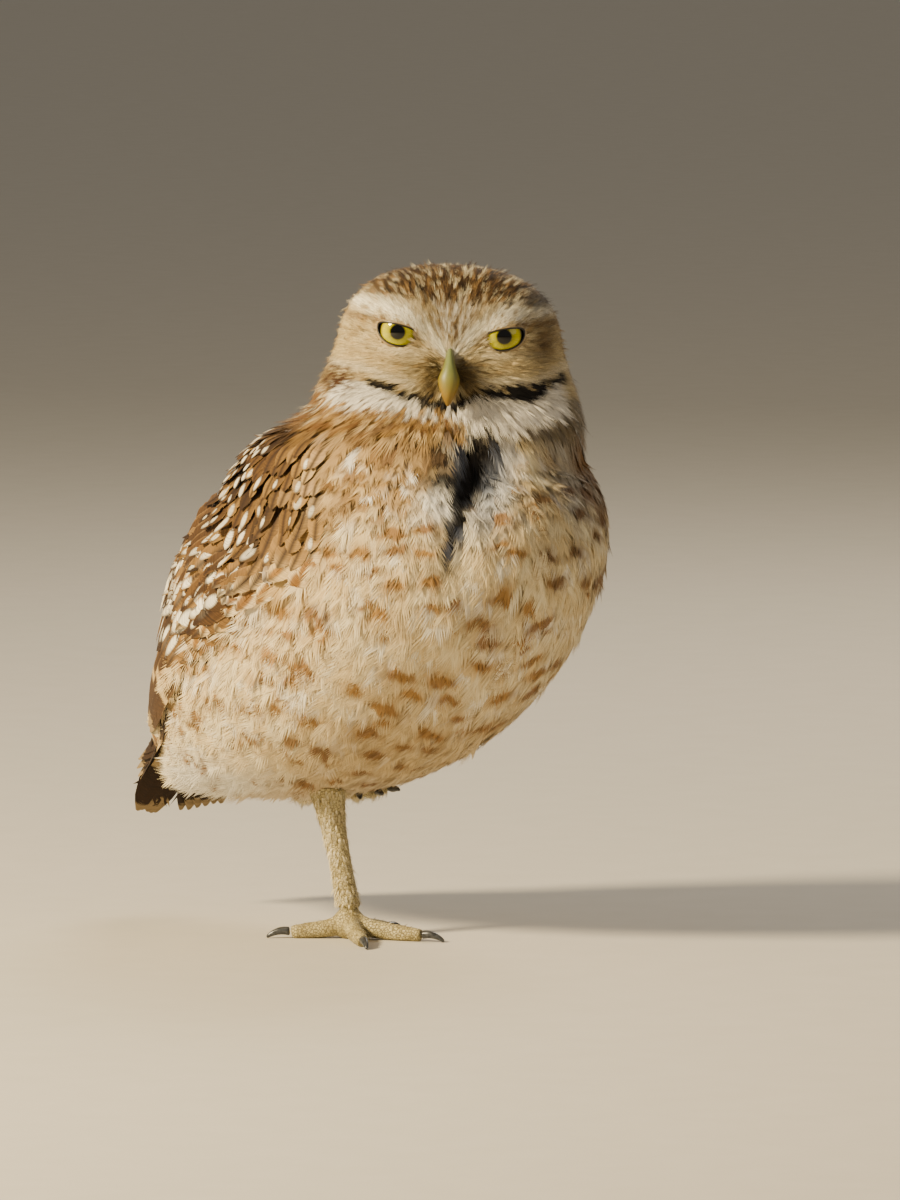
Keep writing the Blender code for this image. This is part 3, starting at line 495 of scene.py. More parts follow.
def surface(rings, place, angle, height):
    """A point at a height over the rings' surface, and the direction out of it."""
    here = ring_point(rings, place, angle)
    step = 0.01 if place < len(rings) - 1.5 else -0.01
    along = (ring_point(rings, place + step, angle) - here) / step
    around = ring_point(rings, place, angle + 1) - ring_point(rings, place, angle - 1)
    out = around.cross(along).normalized()
    centre = (ring_point(rings, place, 0) + ring_point(rings, place, 180)) / 2
    if out.dot(here - centre) < 0:
        out = -out
    return here + out * height, out


RING_STEP = 0.1
RING_COUNT = 101
RING_TABLE = np.array([spline(BODY_RINGS, i * RING_STEP) for i in range(RING_COUNT)])
EVENING = 1.08


def even(value):
    """Spreads angles round the rounded rings a little more evenly."""
    return np.sign(value) * np.abs(value) ** EVENING


def body_place(points):
    """Ring number and angle from the back, for an array of points on the torso."""
    back, back_z, breast, breast_z, half_width = RING_TABLE.T
    slope_a, slope_z = (back - breast) / 2, (back_z - breast_z) / 2
    middle_a, middle_z = (back + breast) / 2, (back_z + breast_z) / 2
    ahead = -points[:, 1][:, None] - middle_a
    height = points[:, 2][:, None] - middle_z
    side = ahead * -slope_z + height * slope_a
    place = np.clip((side > 0).sum(axis=1), 0, RING_COUNT - 1)
    pick = np.arange(len(points))
    along = ahead[pick, place] * slope_a[place] + height[pick, place] * slope_z[place]
    along /= slope_a[place] ** 2 + slope_z[place] ** 2
    across = (points[:, 0] - MIDLINE) / half_width[place]
    return place * RING_STEP, np.degrees(np.arctan2(even(across), even(along)))


def head_frame():
    turn = Matrix.Rotation(HEAD_TURN, 4, "Z")
    pivot = Vector((0, 0, HEAD_BASE))
    tilt = Matrix.Rotation(HEAD_TILT, 4, "Y")
    tilt = Matrix.Translation(pivot) @ tilt @ Matrix.Translation(-pivot)
    return Matrix.Translation((HEAD_SIDE, -HEAD_AHEAD, 0)) @ turn @ tilt


HEAD = np.array(head_frame())


def head_place(points):
    """Places in the head's own frame, in millimetres: side, depth (the face is negative) and height."""
    return (points - HEAD[:3, 3]) @ HEAD[:3, :3] * 1000


def eye_frame(side):
    centre = Matrix.Translation((side * EYE_SIDE, -EYE_DEPTH, EYE_HEIGHT))
    return head_frame() @ centre @ Matrix.Rotation(side * EYE_OUTWARD, 4, "Z")


def eye_place(points, side):
    """Places in one eye's frame, in millimetres, with the gaze along -Y."""
    eye = np.array(eye_frame(side))
    return (points - eye[:3, 3]) @ eye[:3, :3] * 1000


def unwrap(points):
    """The skin opened along the underside and laid flat: once round it, and from the vent up to the crown."""
    ring, angle = body_place(points)
    place = head_place(points)
    around_head = np.degrees(np.arctan2(place[:, 0], place[:, 1]))
    upper = smooth(points[:, 2], 0.150, 0.154)
    around = np.where(upper > 0.5, around_head, angle)
    up = np.where(upper > 0.5, 0.74 + (points[:, 2] - 0.152) / 0.060 * 0.24, 0.02 + (10 - ring) / 10 * 0.70)
    return np.stack([0.01 + (around + 180) / 360 * 0.98, np.clip(up, 0.005, 0.995)], axis=1)


def unwrap_leg(points):
    """A leg opened along its back and laid flat."""
    around = np.arctan2(points[:, 0], points[:, 1]) / (2 * math.pi) + 0.5
    return np.stack([0.01 + around * 0.98, np.clip(0.01 + points[:, 2] / 0.065, 0, 0.99)], axis=1)


def around_body(points):
    """Places over the torso in millimetres: round it from the back, and down it from the neck."""
    ring, angle = body_place(points)
    radius = np.interp(ring, (0, 3, 6, 10), (58, 66, 50, 22))
    return np.stack([angle * (radius * math.pi / 180), ring * 15.5], axis=1)


def parting_weight(points):
    """1 in the middle of the breast's parting, and 0 away from it."""
    ring, angle = body_place(points)
    middle = np.interp(ring, range(len(PARTING_ANGLES)), PARTING_ANGLES)
    half = np.interp(ring, (0, 0.6, 1.2, 2.2), (8.5, 6.5, 4.0, 2.8))
    fade = smooth(ring, PARTING_LENGTH, 1.3) * (points[:, 2] < 0.161)
    return bump_at(angle, middle, half) * fade, angle - middle


# Lie of the coat

def ring_centres():
    """The torso's middle line, at each step of the ring table."""
    back, back_z, breast, breast_z, _ = RING_TABLE.T
    return np.stack([np.full(RING_COUNT, MIDLINE), -(back + breast) / 2, (back_z + breast_z) / 2], axis=1)


def eye_reach(points, sign):
    """Places in one eye's frame, and how far each lies from the line of its gaze."""
    ex, ey, ez = eye_place(points, sign).T
    return ex, ey, ez, np.sqrt(ex * ex + ez * ez)


CENTRE_LINE = ring_centres()
CENTRE_RUN = np.gradient(CENTRE_LINE, axis=0)
CENTRE_RUN /= np.linalg.norm(CENTRE_RUN, axis=1)[:, None]
FACE_MIDDLE = (0.0, 183.5)


def unit(vectors):
    return vectors / np.maximum(np.linalg.norm(vectors, axis=1), 1e-9)[:, None]


def head_lie(points):
    """Out from the bill over the face, back over the crown, and down the nape and the throat."""
    x, y, z = head_place(points).T
    side, up = x - FACE_MIDDLE[0], z - FACE_MIDDLE[1]
    reach = np.sqrt(side * side + up * up) + 1e-6
    front = np.stack([side / reach, np.full_like(x, 0.45), up / reach], axis=1)
    behind = np.stack([x * 0.004, np.full_like(x, 0.25), np.full_like(x, -1.0)], axis=1)
    below = np.stack([side * 0.03, np.zeros_like(x), np.full_like(x, -1.0)], axis=1)
    low = smooth(z, 174, 168)[:, None]
    front = mix(front, below, low)
    weight = smooth(y, -6, 16)[:, None]
    lie = mix(front, behind, weight)
    for sign, _ in SIDES:
        ex, ey, ez, near = eye_reach(points, sign)
        near = near + 1e-6
        push = 1.3 * np.exp(-((near / 8.5) ** 2)) * (ey < 0)
        away = np.stack([ex / near + 0.5 * sign, np.full_like(x, 0.25), ez / near], axis=1)
        lie += away * push[:, None]
    return unit(lie) @ HEAD[:3, :3].T


def body_lie(points):
    """Down the torso's middle line."""
    ring, _ = body_place(points)
    return CENTRE_RUN[np.clip((ring / RING_STEP).astype(int), 0, RING_COUNT - 1)]


def coat_lie(points):
    """The way that the feathers point, over body and head."""
    weight = smooth(head_place(points)[:, 2], 156, 168)[:, None]
    return unit(mix(body_lie(points), head_lie(points), weight))


# Meshes

def add_object(name, data):
    thing = bpy.data.objects.new(name, data)
    bpy.context.scene.collection.objects.link(thing)
    return thing


def mesh_object(name, points, faces):
    """An object from arrays of points and of faces that all have as many corners."""
    mesh = bpy.data.meshes.new(name)
    points = np.asarray(points, np.float32)
    faces = np.asarray(faces, np.int32)
    count, corners = faces.shape
    mesh.vertices.add(len(points))
    mesh.vertices.foreach_set("co", points.ravel())
    mesh.loops.add(count * corners)
    mesh.loops.foreach_set("vertex_index", faces.ravel())
    mesh.polygons.add(count)
    mesh.polygons.foreach_set("loop_start", np.arange(0, count * corners, corners, dtype=np.int32))
    mesh.update(calc_edges=True)
    return add_object(name, mesh)


def move_points(thing, points):
    thing.data.vertices.foreach_set("co", points.astype(np.float32).ravel())
    thing.data.update()


def placed(points, matrix):
    """Points of a frame of its own, in the model's frame."""
    return np.array(points) @ matrix[:3, :3].T + matrix[:3, 3]


def add_attribute(mesh, name, kind, values):
    attribute = mesh.attributes.new(name, kind, "POINT")
    key = {"FLOAT": "value", "FLOAT_VECTOR": "vector", "FLOAT_COLOR": "color"}[kind]
    attribute.data.foreach_set(key, np.asarray(values, np.float32).ravel())


def add_bake_map(mesh, places):
    """A flat map of the piece, from one place for each point."""
    layer = mesh.uv_layers.new(name="OFBake")
    corners = np.empty(len(mesh.loops), np.int32)
    mesh.loops.foreach_get("vertex_index", corners)
    layer.data.foreach_set("uv", np.asarray(places, np.float32)[corners].ravel())


def face_outwards(thing):
    shape = bmesh.new()
    shape.from_mesh(thing.data)
    bmesh.ops.recalc_face_normals(shape, faces=shape.faces)
    shape.to_mesh(thing.data)
    shape.free()


def shade(thing, material, is_smooth=True):
    thing.data.materials.clear()
    thing.data.materials.append(material)
    thing.data.polygons.foreach_set("use_smooth", [is_smooth] * len(thing.data.polygons))


def attach(piece, slot, *nodes):
    """Ties a piece to the body, and hides the nodes that it stands in for. The slot is not used."""
    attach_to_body(piece, "root")
    if nodes:
        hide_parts(*nodes)


def joined_nodes(name, nodes):
    """One mesh from copies of CAD nodes, with their loose triangles merged."""
    shape = bmesh.new()
    for node in nodes:
        shape.from_mesh(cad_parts[node].data)
    bmesh.ops.remove_doubles(shape, verts=shape.verts, dist=1e-5)
    mesh = bpy.data.meshes.new(name)
    shape.to_mesh(mesh)
    shape.free()
    return add_object(name, mesh)


def apply_modifiers(thing):
    graph = bpy.context.evaluated_depsgraph_get()
    mesh = bpy.data.meshes.new_from_object(thing.evaluated_get(graph))
    thing.modifiers.clear()
    old = thing.data
    thing.data = mesh
    bpy.data.meshes.remove(old)


def remesh(thing, voxel, smoothing):
    grid = thing.modifiers.new("Remesh", "REMESH")
    grid.mode = "VOXEL"
    grid.voxel_size = voxel
    soft = thing.modifiers.new("Smooth", "SMOOTH")
    soft.factor = 0.5
    soft.iterations = smoothing
    apply_modifiers(thing)


def mesh_arrays(mesh):
    """Points, normals at the points, and triangles of a mesh."""
    count = len(mesh.vertices) * 3
    points, normals = np.empty(count, np.float32), np.empty(count, np.float32)
    mesh.vertices.foreach_get("co", points)
    mesh.vertices.foreach_get("normal", normals)
    mesh.calc_loop_triangles()
    faces = np.empty(len(mesh.loop_triangles) * 3, np.int32)
    mesh.loop_triangles.foreach_get("vertices", faces)
    return points.reshape(-1, 3).astype(float), normals.reshape(-1, 3).astype(float), faces.reshape(-1, 3)


class Guide:
    """The surface that the coat follows, for walking along it."""

    def __init__(self, points, normals, faces):
        self.points, self.faces = points, faces
        self.tree = BVHTree.FromPolygons([tuple(p) for p in points], [tuple(map(int, f)) for f in faces])
        self.face_normals = unit(normals[faces].mean(axis=1))

    def nearest(self, places):
        found = [self.tree.find_nearest(Vector(place)) for place in places]
        points = np.array([hit[0] for hit in found])
        return points, self.face_normals[[hit[2] for hit in found]]

    def scatter(self, spacing, seed, most):
        """Roots about as far apart as the spacing asks at each place, in no rows."""
        corners = self.points[self.faces]
        crossed = np.cross(corners[:, 1] - corners[:, 0], corners[:, 2] - corners[:, 0])
        area = np.linalg.norm(crossed, axis=1) / 2
        middle = corners.mean(axis=1)
        want = spacing(middle)
        chance = np.where(want > 0, area / np.maximum(want, 1e-5) ** 2, 0)
        draw = np.random.default_rng(seed)
        count = int(min(most, chance.sum() * 6))
        pick = draw.choice(len(area), count, p=chance / chance.sum())
        a, b = draw.random((2, count, 1))
        fold = a + b > 1
        a, b = np.where(fold, 1 - a, a), np.where(fold, 1 - b, b)
        tri = corners[pick]
        places = tri[:, 0] + a * (tri[:, 1] - tri[:, 0]) + b * (tri[:, 2] - tri[:, 0])
        apart = spacing(places)
        tree = KDTree(count)
        for i, place in enumerate(places):
            tree.insert(place, i)
        tree.balance()
        free = apart > 0
        kept = []
        for i in range(count):
            if free[i]:
                kept.append(i)
                for _, j, _ in tree.find_range(places[i], apart[i]):
                    free[j] = False
        return places[kept], self.face_normals[pick[kept]]


# Feather forms

BODY_PROFILE = ((0.0, 0.50), (0.3, 0.92), (0.6, 1.0), (0.85, 0.84), (1.0, 0.5))
FLIGHT_PROFILE = ((0.0, 0.5), (0.15, 0.95), (0.6, 1.0), (0.85, 0.86), (0.95, 0.55), (1.0, 0.12))
COVERT_PROFILE = (
    (0.0, 0.35), (0.25, 0.85), (0.55, 1.0), (0.78, 0.93), (0.90, 0.70), (0.97, 0.38), (1.0, 0.10),
)


class Form:
    """One feather laid flat: points as across, along and rise in millimetres, and its barbs' numbering."""

    def __init__(self, seed):
        self.draw = random.Random(seed)
        self.points, self.barbs, self.faces = [], [], []

    def close(self, points, barbs, faces):
        """Adds one closed body, turned so that its faces point outwards."""
        first = len(self.points)
        corners = np.array(points)[np.array(faces)]
        volume = np.einsum("ij,ij->i", corners[:, 0], np.cross(corners[:, 1], corners[:, 2])).sum()
        order = (0, 1, 2) if volume > 0 else (0, 2, 1)
        self.points += points
        self.barbs += barbs
        self.faces += [[first + face[k] for k in order] for face in faces]

    def spike(self, number, near, far, tip, rise, thick):
        """A strand of barbs from two points at its root to one at its tip, flat above and keeled below."""
        keel = ((near[0] + far[0]) / 2, (near[1] + far[1]) / 2, -thick)
        points = [(*near, 0.0), (*far, 0.0), keel, (*tip, rise)]
        barbs = [number, number + 1, number + 0.5, number + 0.5]
        self.close(points, barbs, [(0, 1, 3), (1, 2, 3), (2, 0, 3), (0, 2, 1)])

    def bowed_spike(self, number, near, far, tip, rise, thick):
        """A strand that keeps its breadth past its middle and bows towards the feather's root."""
        mid = [((end[0] + tip[0]) / 2, (end[1] + tip[1]) / 2) for end in (near, far)]
        centre = ((mid[0][0] + mid[1][0]) / 2, (mid[0][1] + mid[1][1]) / 2)
        bow = -0.07 * (tip[1] - near[1])
        mid = [(centre[0] + (x - centre[0]) * 1.5, centre[1] + (y - centre[1]) * 1.5 + bow) for x, y in mid]
        points = [(*near, 0.0), (*far, 0.0), ((near[0] + far[0]) / 2, (near[1] + far[1]) / 2, -thick)]
        points += [(x, y, rise * 0.45) for x, y in mid]
        points += [(centre[0], centre[1] + bow, rise * 0.45 - thick * 0.8), (*tip, rise)]
        barbs = [number, number + 1, number + 0.5] * 2 + [number + 0.5]
        faces = [(0, 1, 4), (0, 4, 3), (3, 4, 6), (1, 2, 5), (1, 5, 4), (2, 0, 3), (2, 3, 5), (4, 5, 6)]
        self.close(points, barbs, faces + [(5, 3, 6), (0, 2, 1)])

    def shaft(self, half, thick):
        """A three-sided shaft that tapers from the root towards the tip."""
        points = []
        for along, part in ((-0.02, 1.0), (0.45, 0.7), (0.88, 0.25)):
            points += [(-half * part, along, 0.02), (half * part, along, 0.02), (0.0, along, 0.02 + thick)]
        faces = [(0, 2, 1), (6, 7, 8)]
        for level in (0, 3):
            for i in range(3):
                j = (i + 1) % 3
                faces += [(level + i, level + j, level + 3 + j), (level + i, level + 3 + j, level + 3 + i)]
        self.close(points, [0.5] * 9, faces)

    def sheet(self, steps, profile, lean, notches, thick):
        """A closed vane with a firm outline, its two halves sloping from the shaft, and a few splits."""
        places, widths = zip(*profile)
        columns = (-1.0, -0.62, 0.0, 0.62, 1.0)
        split = {(self.draw.randrange(3, steps), self.draw.choice((0, 4))) for _ in range(notches)}
        points, barbs = [], []
        for i in range(steps + 1):
            along = 1 - (1 - i / steps) ** 1.25
            width = float(np.interp(along, places, widths))
            above = []
            for j, x in enumerate(columns):
                pull = 0.72 if (i, j) in split else 1.0
                back = lean * abs(x) ** 1.5 * width * (1 if i else 0)
                above.append((x * width * pull, along - back, 0.14 * (1 - x * x)))
            points += above + [(x, y, rise - thick) for x, y, rise in above[1:4]]
            barbs += [(along + lean * abs(x) * 0.5) * BARBS for x in columns] + [along * BARBS] * 3
        faces = []
        row = 8
        for i in range(steps):
            a = i * row
            top = (a, a + 1, a + 2, a + 3, a + 4)
            low = (a, a + 5, a + 6, a + 7, a + 4)
            for j in range(4):
                faces += [(top[j], top[j + 1], top[j + 1] + row), (top[j], top[j + 1] + row, top[j] + row)]
                faces += [(low[j], low[j + 1] + row, low[j + 1]), (low[j], low[j] + row, low[j + 1] + row)]
        for a, first, second in ((0, 1, 0), (steps * row, 0, 1)):
            ring = (a, a + 1, a + 2, a + 3, a + 4, a + 7, a + 6, a + 5)
            faces += [(ring[0], ring[k + first], ring[k + second]) for k in range(1, 7)]
        self.close(points, barbs, faces)

    def done(self):
        self.points = np.array(self.points)
        self.barbs = np.array(self.barbs)
        self.faces = np.array(self.faces, np.int32)
        return self


def soft_feather(seed, clumps=11, ends=7, lean=0.52, ragged=0.16, lift=0.18):
    """A body feather: long loose strands that leave the shaft at a low angle, with a soft open tip."""
    form = Form(seed)
    draw = form.draw
    places, widths = zip(*BODY_PROFILE)
    number = 0
    for i in range(clumps):
        for side in (-1, 1):
            start = 0.02 + 0.68 * (i + draw.uniform(-0.2, 0.2)) / clumps
            width = float(np.interp(start + 0.3, places, widths)) * (1 + ragged * draw.uniform(-1, 0.7))
            reach = start + 0.08 + lean * (0.65 + 0.35 * start) * (1 + draw.uniform(-0.12, 0.15))
            tip = (side * width, min(reach, 1.02))
            near, far = (side * 0.02, start), (side * 0.02, start + 0.11)
            form.bowed_spike(number, near, far, tip, draw.uniform(-1, 1) * lift, 0.10)
            number += 1
    for i in range(ends):
        part = i / (ends - 1) * 2 - 1
        spread = part * 0.60 * (1 + 0.2 * draw.uniform(-1, 1))
        tip = (spread, 1.03 - 0.10 * part * part + draw.uniform(-0.07, 0.05))
        middle, start = part * 0.10, 0.58 + draw.uniform(-0.05, 0.05)
        near, far = (middle - 0.05, start), (middle + 0.05, start)
        form.bowed_spike(number, near, far, tip, draw.uniform(-1, 1) * lift, 0.09)
        number += 1
    form.shaft(0.03, 0.05)
    return form.done()


def tuft(seed, strands, spread, width):
    """A tiny loose feather: a few strands side by side that open towards their tips."""
    form = Form(seed)
    draw = form.draw
    for i in range(strands):
        part = i / (strands - 1) * 2 - 1
        start = draw.uniform(0.0, 0.12) + 0.10 * abs(part)
        base = part * 0.35
        side = part * spread * (1 + 0.25 * draw.uniform(-1, 1))
        tip = (side, 1.0 - 0.18 * part * part + draw.uniform(-0.14, 0.06))
        form.spike(i, (base - width, start), (base + width, start), tip, draw.uniform(-0.12, 0.25), 0.08)
    return form.done()


def firm_feather(seed, steps, profile, notches, fringe, thick=0.12):
    """A covert, scapular or flight feather: a firm vane with a few loose strands at its edges."""
    form = Form(seed)
    draw = form.draw
    form.sheet(steps, profile, 0.05, notches, thick)
    places, widths = zip(*profile)
    for _ in range(fringe):
        at = draw.uniform(0.35, 0.93)
        side = draw.choice((-1, 1))
        width = float(np.interp(at, places, widths))
        base = (side * width * 0.55, at - 0.03)
        tip = (side * width * draw.uniform(1.02, 1.14), at + draw.uniform(0.04, 0.10))
        form.spike(at * BARBS, base, (base[0], base[1] + 0.05), tip, draw.uniform(-0.1, 0.2), 0.08)
    form.shaft(0.03, 0.12)
    return form.done()


def station_weights(along, count):
    """How each of the stations along a feather counts at each place along it."""
    place = np.clip(along, -0.05, 1.08) * (count - 1)
    first = np.clip(place.astype(int), 0, count - 2)
    part = place - first
    rows = np.arange(len(along))
    weights = np.zeros((len(along), count + 2))
    t, t2, t3 = part, part * part, part ** 3
    weights[rows, first] += 0.5 * (-t + 2 * t2 - t3)
    weights[rows, first + 1] += 0.5 * (2 - 5 * t2 + 3 * t3)
    weights[rows, first + 2] += 0.5 * (t + 4 * t2 - 3 * t3)
    weights[rows, first + 3] += 0.5 * (-t2 + t3)
    inner = weights[:, 1:-1].copy()
    inner[:, 0] += 2 * weights[:, 0]
    inner[:, 1] -= weights[:, 0]
    inner[:, -1] += 2 * weights[:, -1]
    inner[:, -2] -= weights[:, -1]
    return inner


def with_last(values, last):
    """An array with one more number in each row, the same in all."""
    return np.concatenate([values, np.full((*values.shape[:-1], 1), last)], axis=-1)


class Coat:
    """Feathers gathered for one piece: their lines over the surface, sizes and colours."""

    def __init__(self, name, forms, seed):
        self.name, self.forms = name, forms
        self.draw = np.random.default_rng(seed)
        self.rows = []

    def add(self, lines, outs, halves, rolls, cups, grounds, marks, spots=None):
        """Lines and their outward directions by station, with the widths, twist, cup and colours of each."""
        count, stations = lines.shape[:2]
        if grounds.ndim == 2:
            grounds = np.repeat(grounds[:, None], stations, axis=1)
        if spots is None:
            spots = np.zeros((count, stations, 2))
        halves, rolls, cups = (np.broadcast_to(values, count) for values in (halves, rolls, cups))
        self.rows.append((lines, outs, halves, rolls, cups, grounds, marks, spots))

    def build(self, material, unwrapping=unwrap):
        """One mesh of all the feathers, each bent along its own line."""
        rows = (np.concatenate(part) for part in zip(*self.rows))
        lines, outs, halves, rolls, cups, grounds, marks, spots = rows
        count, stations = lines.shape[:2]
        kinds = self.draw.integers(0, len(self.forms), count)
        draws = self.draw.random(count)
        run = np.gradient(lines, axis=1)
        run /= np.linalg.norm(run, axis=2, keepdims=True)
        outs = outs - run * (outs * run).sum(axis=2, keepdims=True)
        outs /= np.linalg.norm(outs, axis=2, keepdims=True)
        sides = np.cross(run, outs)
        cos, sin = np.cos(rolls)[:, None, None], np.sin(rolls)[:, None, None]
        sides, outs = sides * cos + outs * sin, outs * cos - sides * sin
        places = unwrapping(lines[:, 0])
        groups = []
        first = 0
        for kind, form in enumerate(self.forms):
            chosen = np.flatnonzero(kinds == kind)
            if not len(chosen):
                continue
            across, along, rise = form.points.T
            number = len(across)
            weights = station_weights(along, stations)
            near = np.clip(weights, 0, None)
            near /= near.sum(axis=1, keepdims=True)
            by_point = partial(np.einsum, "vk,nkc->nvc")
            place, side, out = (by_point(weights, part[chosen]) for part in (lines, sides, outs))
            spot, tone = (by_point(near, part[chosen]) for part in (spots, grounds))
            half = halves[chosen][:, None]
            off = across[None] * half
            spot[..., 0] += off * 1000
            up = rise[None] * 0.001 * np.minimum(1.0, half / FULL_HALF) - cups[chosen][:, None] * off * off
            vane = np.stack([across, along, form.barbs], axis=1)
            patch = np.stack([across, along - 0.5], axis=1) * MAP_PATCH
            starts = np.arange(len(chosen))[:, None, None] * number
            groups.append((
                (place + side * off[..., None] + out * up[..., None]).reshape(-1, 3),
                (form.faces[None] + starts + first).reshape(-1, 3),
                np.broadcast_to(vane, (len(chosen), number, 3)).reshape(-1, 3),
                with_last(tone, 1.0).reshape(-1, 4),
                np.repeat(marks[chosen], number, axis=0),
                np.repeat(draws[chosen], number),
                with_last(spot, 0.0).reshape(-1, 3),
                (places[chosen][:, None] + patch[None]).reshape(-1, 2),
            ))
            first += number * len(chosen)
        points, faces, *values, spot_places, map_places = (np.concatenate(part) for part in zip(*groups))
        piece = mesh_object(self.name, points, faces)
        names = ("vane", "ground", "mark", "draw")
        for name, kind, value in zip(names, ("FLOAT_VECTOR", "FLOAT_COLOR", "FLOAT_COLOR", "FLOAT"), values):
            add_attribute(piece.data, name, kind, value)
        if spots.any():
            add_attribute(piece.data, "spot_place", "FLOAT_VECTOR", spot_places)
        add_bake_map(piece.data, np.clip(map_places, 0.0, 1.0))
        shade(piece, material, False)
        return piece


def wing_table():
    """A tree over the folded wing's grid, to find where on the wing a place of the torso lies."""
    along_steps, across_steps = 60, 30
    tree = KDTree((along_steps + 1) * (across_steps + 1))
    grid = []
    for i in range(along_steps + 1):
        upper = spline(UPPER_EDGE, i / along_steps * (len(UPPER_EDGE) - 1))
        lower = spline(LOWER_EDGE, i / along_steps * (len(LOWER_EDGE) - 1))
        for j in range(across_steps + 1):
            ring, angle = upper + (lower - upper) * (j / across_steps)
            tree.insert((ring * RING_DEPTH, angle, 0), len(grid))
            grid.append((i / along_steps, j / across_steps))
    tree.balance()
    return tree, grid


WING_TREE, WING_GRID = wing_table()


def wing_place(points):
    """Place along and across the folded wing, and how far off the wing it is, in about millimetres."""
    ring, angle = body_place(points)
    found = [WING_TREE.find((r * RING_DEPTH, a, 0)) for r, a in zip(ring, np.abs(angle))]
    places = np.array([WING_GRID[hit[1]] for hit in found])
    return places[:, 0], places[:, 1], np.array([hit[2] for hit in found])


# Colours of the coat, from the root's place

BACK_EDGE = ((0, 112), (0.7, 116), (1.5, 112), (2.6, 93), (3.3, 76), (4.3, 62), (6.3, 43), (8.0, 38))


def belly_colours(points, draws):
    """Ground and mark colours on the torso. The draws give each feather numbers of its own."""
    ring, angle = body_place(points)
    count = len(points)
    wide = np.abs(angle)
    tone, pick, shade_of, soft = draws.T
    edge = table(BACK_EDGE, ring)
    upper = smooth(ring + 0.3 * (soft - 0.5), 1.30, 0.85) * smooth(wide, 148, 140)
    upper = np.maximum(upper, smooth(ring + 0.3 * (soft - 0.5), 0.95, 0.6))
    right = smooth(angle, -157, -152) * (angle < 0) * upper * smooth(wide + 12 * (soft - 0.5), 96, 104)
    left = smooth(angle, 176, 164) * (angle > 0) * smooth(ring + 0.6 * (soft - 0.5), 1.5, 0.7)
    shaded = smooth(angle, 162, 146) * (angle > 0) * smooth(ring + 0.8 * (soft - 0.5), 2.0, 1.0)
    # Painted shade: dark brown down the far lobe's edge, on the side turned away from the key light.
    far_edge_shade = smooth(angle, 140, 124) * (angle > 80) * smooth(ring, 4.5, 2.5)
    flank = bump_at(wide, edge + 8, 13) * smooth(ring, 1.5, 2.4) * smooth(ring, 7.5, 6.0)
    # Painted shade: the lower front of the belly is tinted duller and darker, as if less light reached it.
    low = smooth(wide, 120, 150) * smooth(ring, 4.5, 6.0)
    back = smooth(wide + 6 * (soft - 0.5), edge + 3, edge - 4) * (1 - right)
    gap, off = parting_weight(points)
    beside = bump_at(off, -10, 7) * smooth(ring, 2.0, 0.8)
    rim = bump_at(off, 9.5, 3.0) * smooth(ring, 0.9, 0.5)
    # A dark hole beside the parting: dark down, painted darker still as shadow in the hole.
    hole_shadow = bump_at(angle, -150, 6) * bump_at(ring, 0.25, 0.28)
    comb = bump_at(angle, -146, 5) * bump_at(ring, 0.80, 0.30)
    strength = 0.90 * smooth(ring, 8.8, 7.6) * (1 - smooth(gap, 0.1, 0.3)) * (1 - beside)
    spotted = (right > 0.5) * (pick < 0.24)
    strength = np.where(right > 0.5, spotted, strength)
    front = smooth(wide, 75, 95)
    on_back = (shade_of < 0.66 - 0.24 * front) * (0.6 + 0.4 * soft) * (1 - 0.15 * front)
    strength = np.where(back > 0.5, on_back, strength)
    ground = paint(
        plain("EBDCB6", count),
        ("D9BD86", tone * 0.7),
        ("F3EBDA", smooth(shade_of, 0.7, 1.0) * 0.8),
        ("A37C40", right * (0.75 + 0.25 * tone)),
        ("D9BE8C", right * smooth(tone, 0.55, 0.9) * 0.8),
        ("6E4A22", right * smooth(pick, 0.72, 0.95) * 0.75),
        ("A79F92", left * 0.8),
        ("7E5B30", shaded * (0.45 + 0.5 * tone)),
        # painted shade at the far lobe's edge
        ("6E4D28", far_edge_shade * (0.35 + 0.6 * (pick > 0.4))),
        ("F1EBDD", smooth(ring, 6.6, 8.2) * smooth(wide, 60, 90)),
        ("C39C5A", flank * 0.65 * (0.4 + 0.6 * tone)),
        # painted shade on the lower belly
        ("BFA474", low * 0.65),
        ("5C3F1B", back),
        ("9C7840", back * smooth(pick, 0.55, 0.9) * 0.8),
        ("2C1B0B", back * smooth(pick, 0.45, 0.1) * 0.9),
        ("A9844A", back * smooth(wide, 80, 108) * (0.35 + 0.4 * tone)),
        ("B9BDC6", beside * 0.85),
        ("F3ECDC", rim * 0.9),
        ("666C7C", smooth(gap, 0.12, 0.40)),
        # The parting's middle: black down, with painted shadow deep in the cleft.
        ("14100E", smooth(gap, 0.40, 0.7)),
        # painted shadow in the hole beside the parting
        ("14100E", hole_shadow * 1.5),
        ("F9F4E8", comb * 1.6),
    )
    mark = paint(
        plain("A27430", count),
        ("70461C", shade_of * 0.7),
        ("593818", smooth(ring, 3.4, 1.6) * (angle > 0) * 0.7),
        ("6F4C24", smooth(ring, 4.5, 6.5) * 0.6),
        ("F3ECDF", right > 0.5),
        ("F8F0DC", back > 0.5),
    )
    return ground, np.concatenate([mark, strength[:, None]], axis=1)


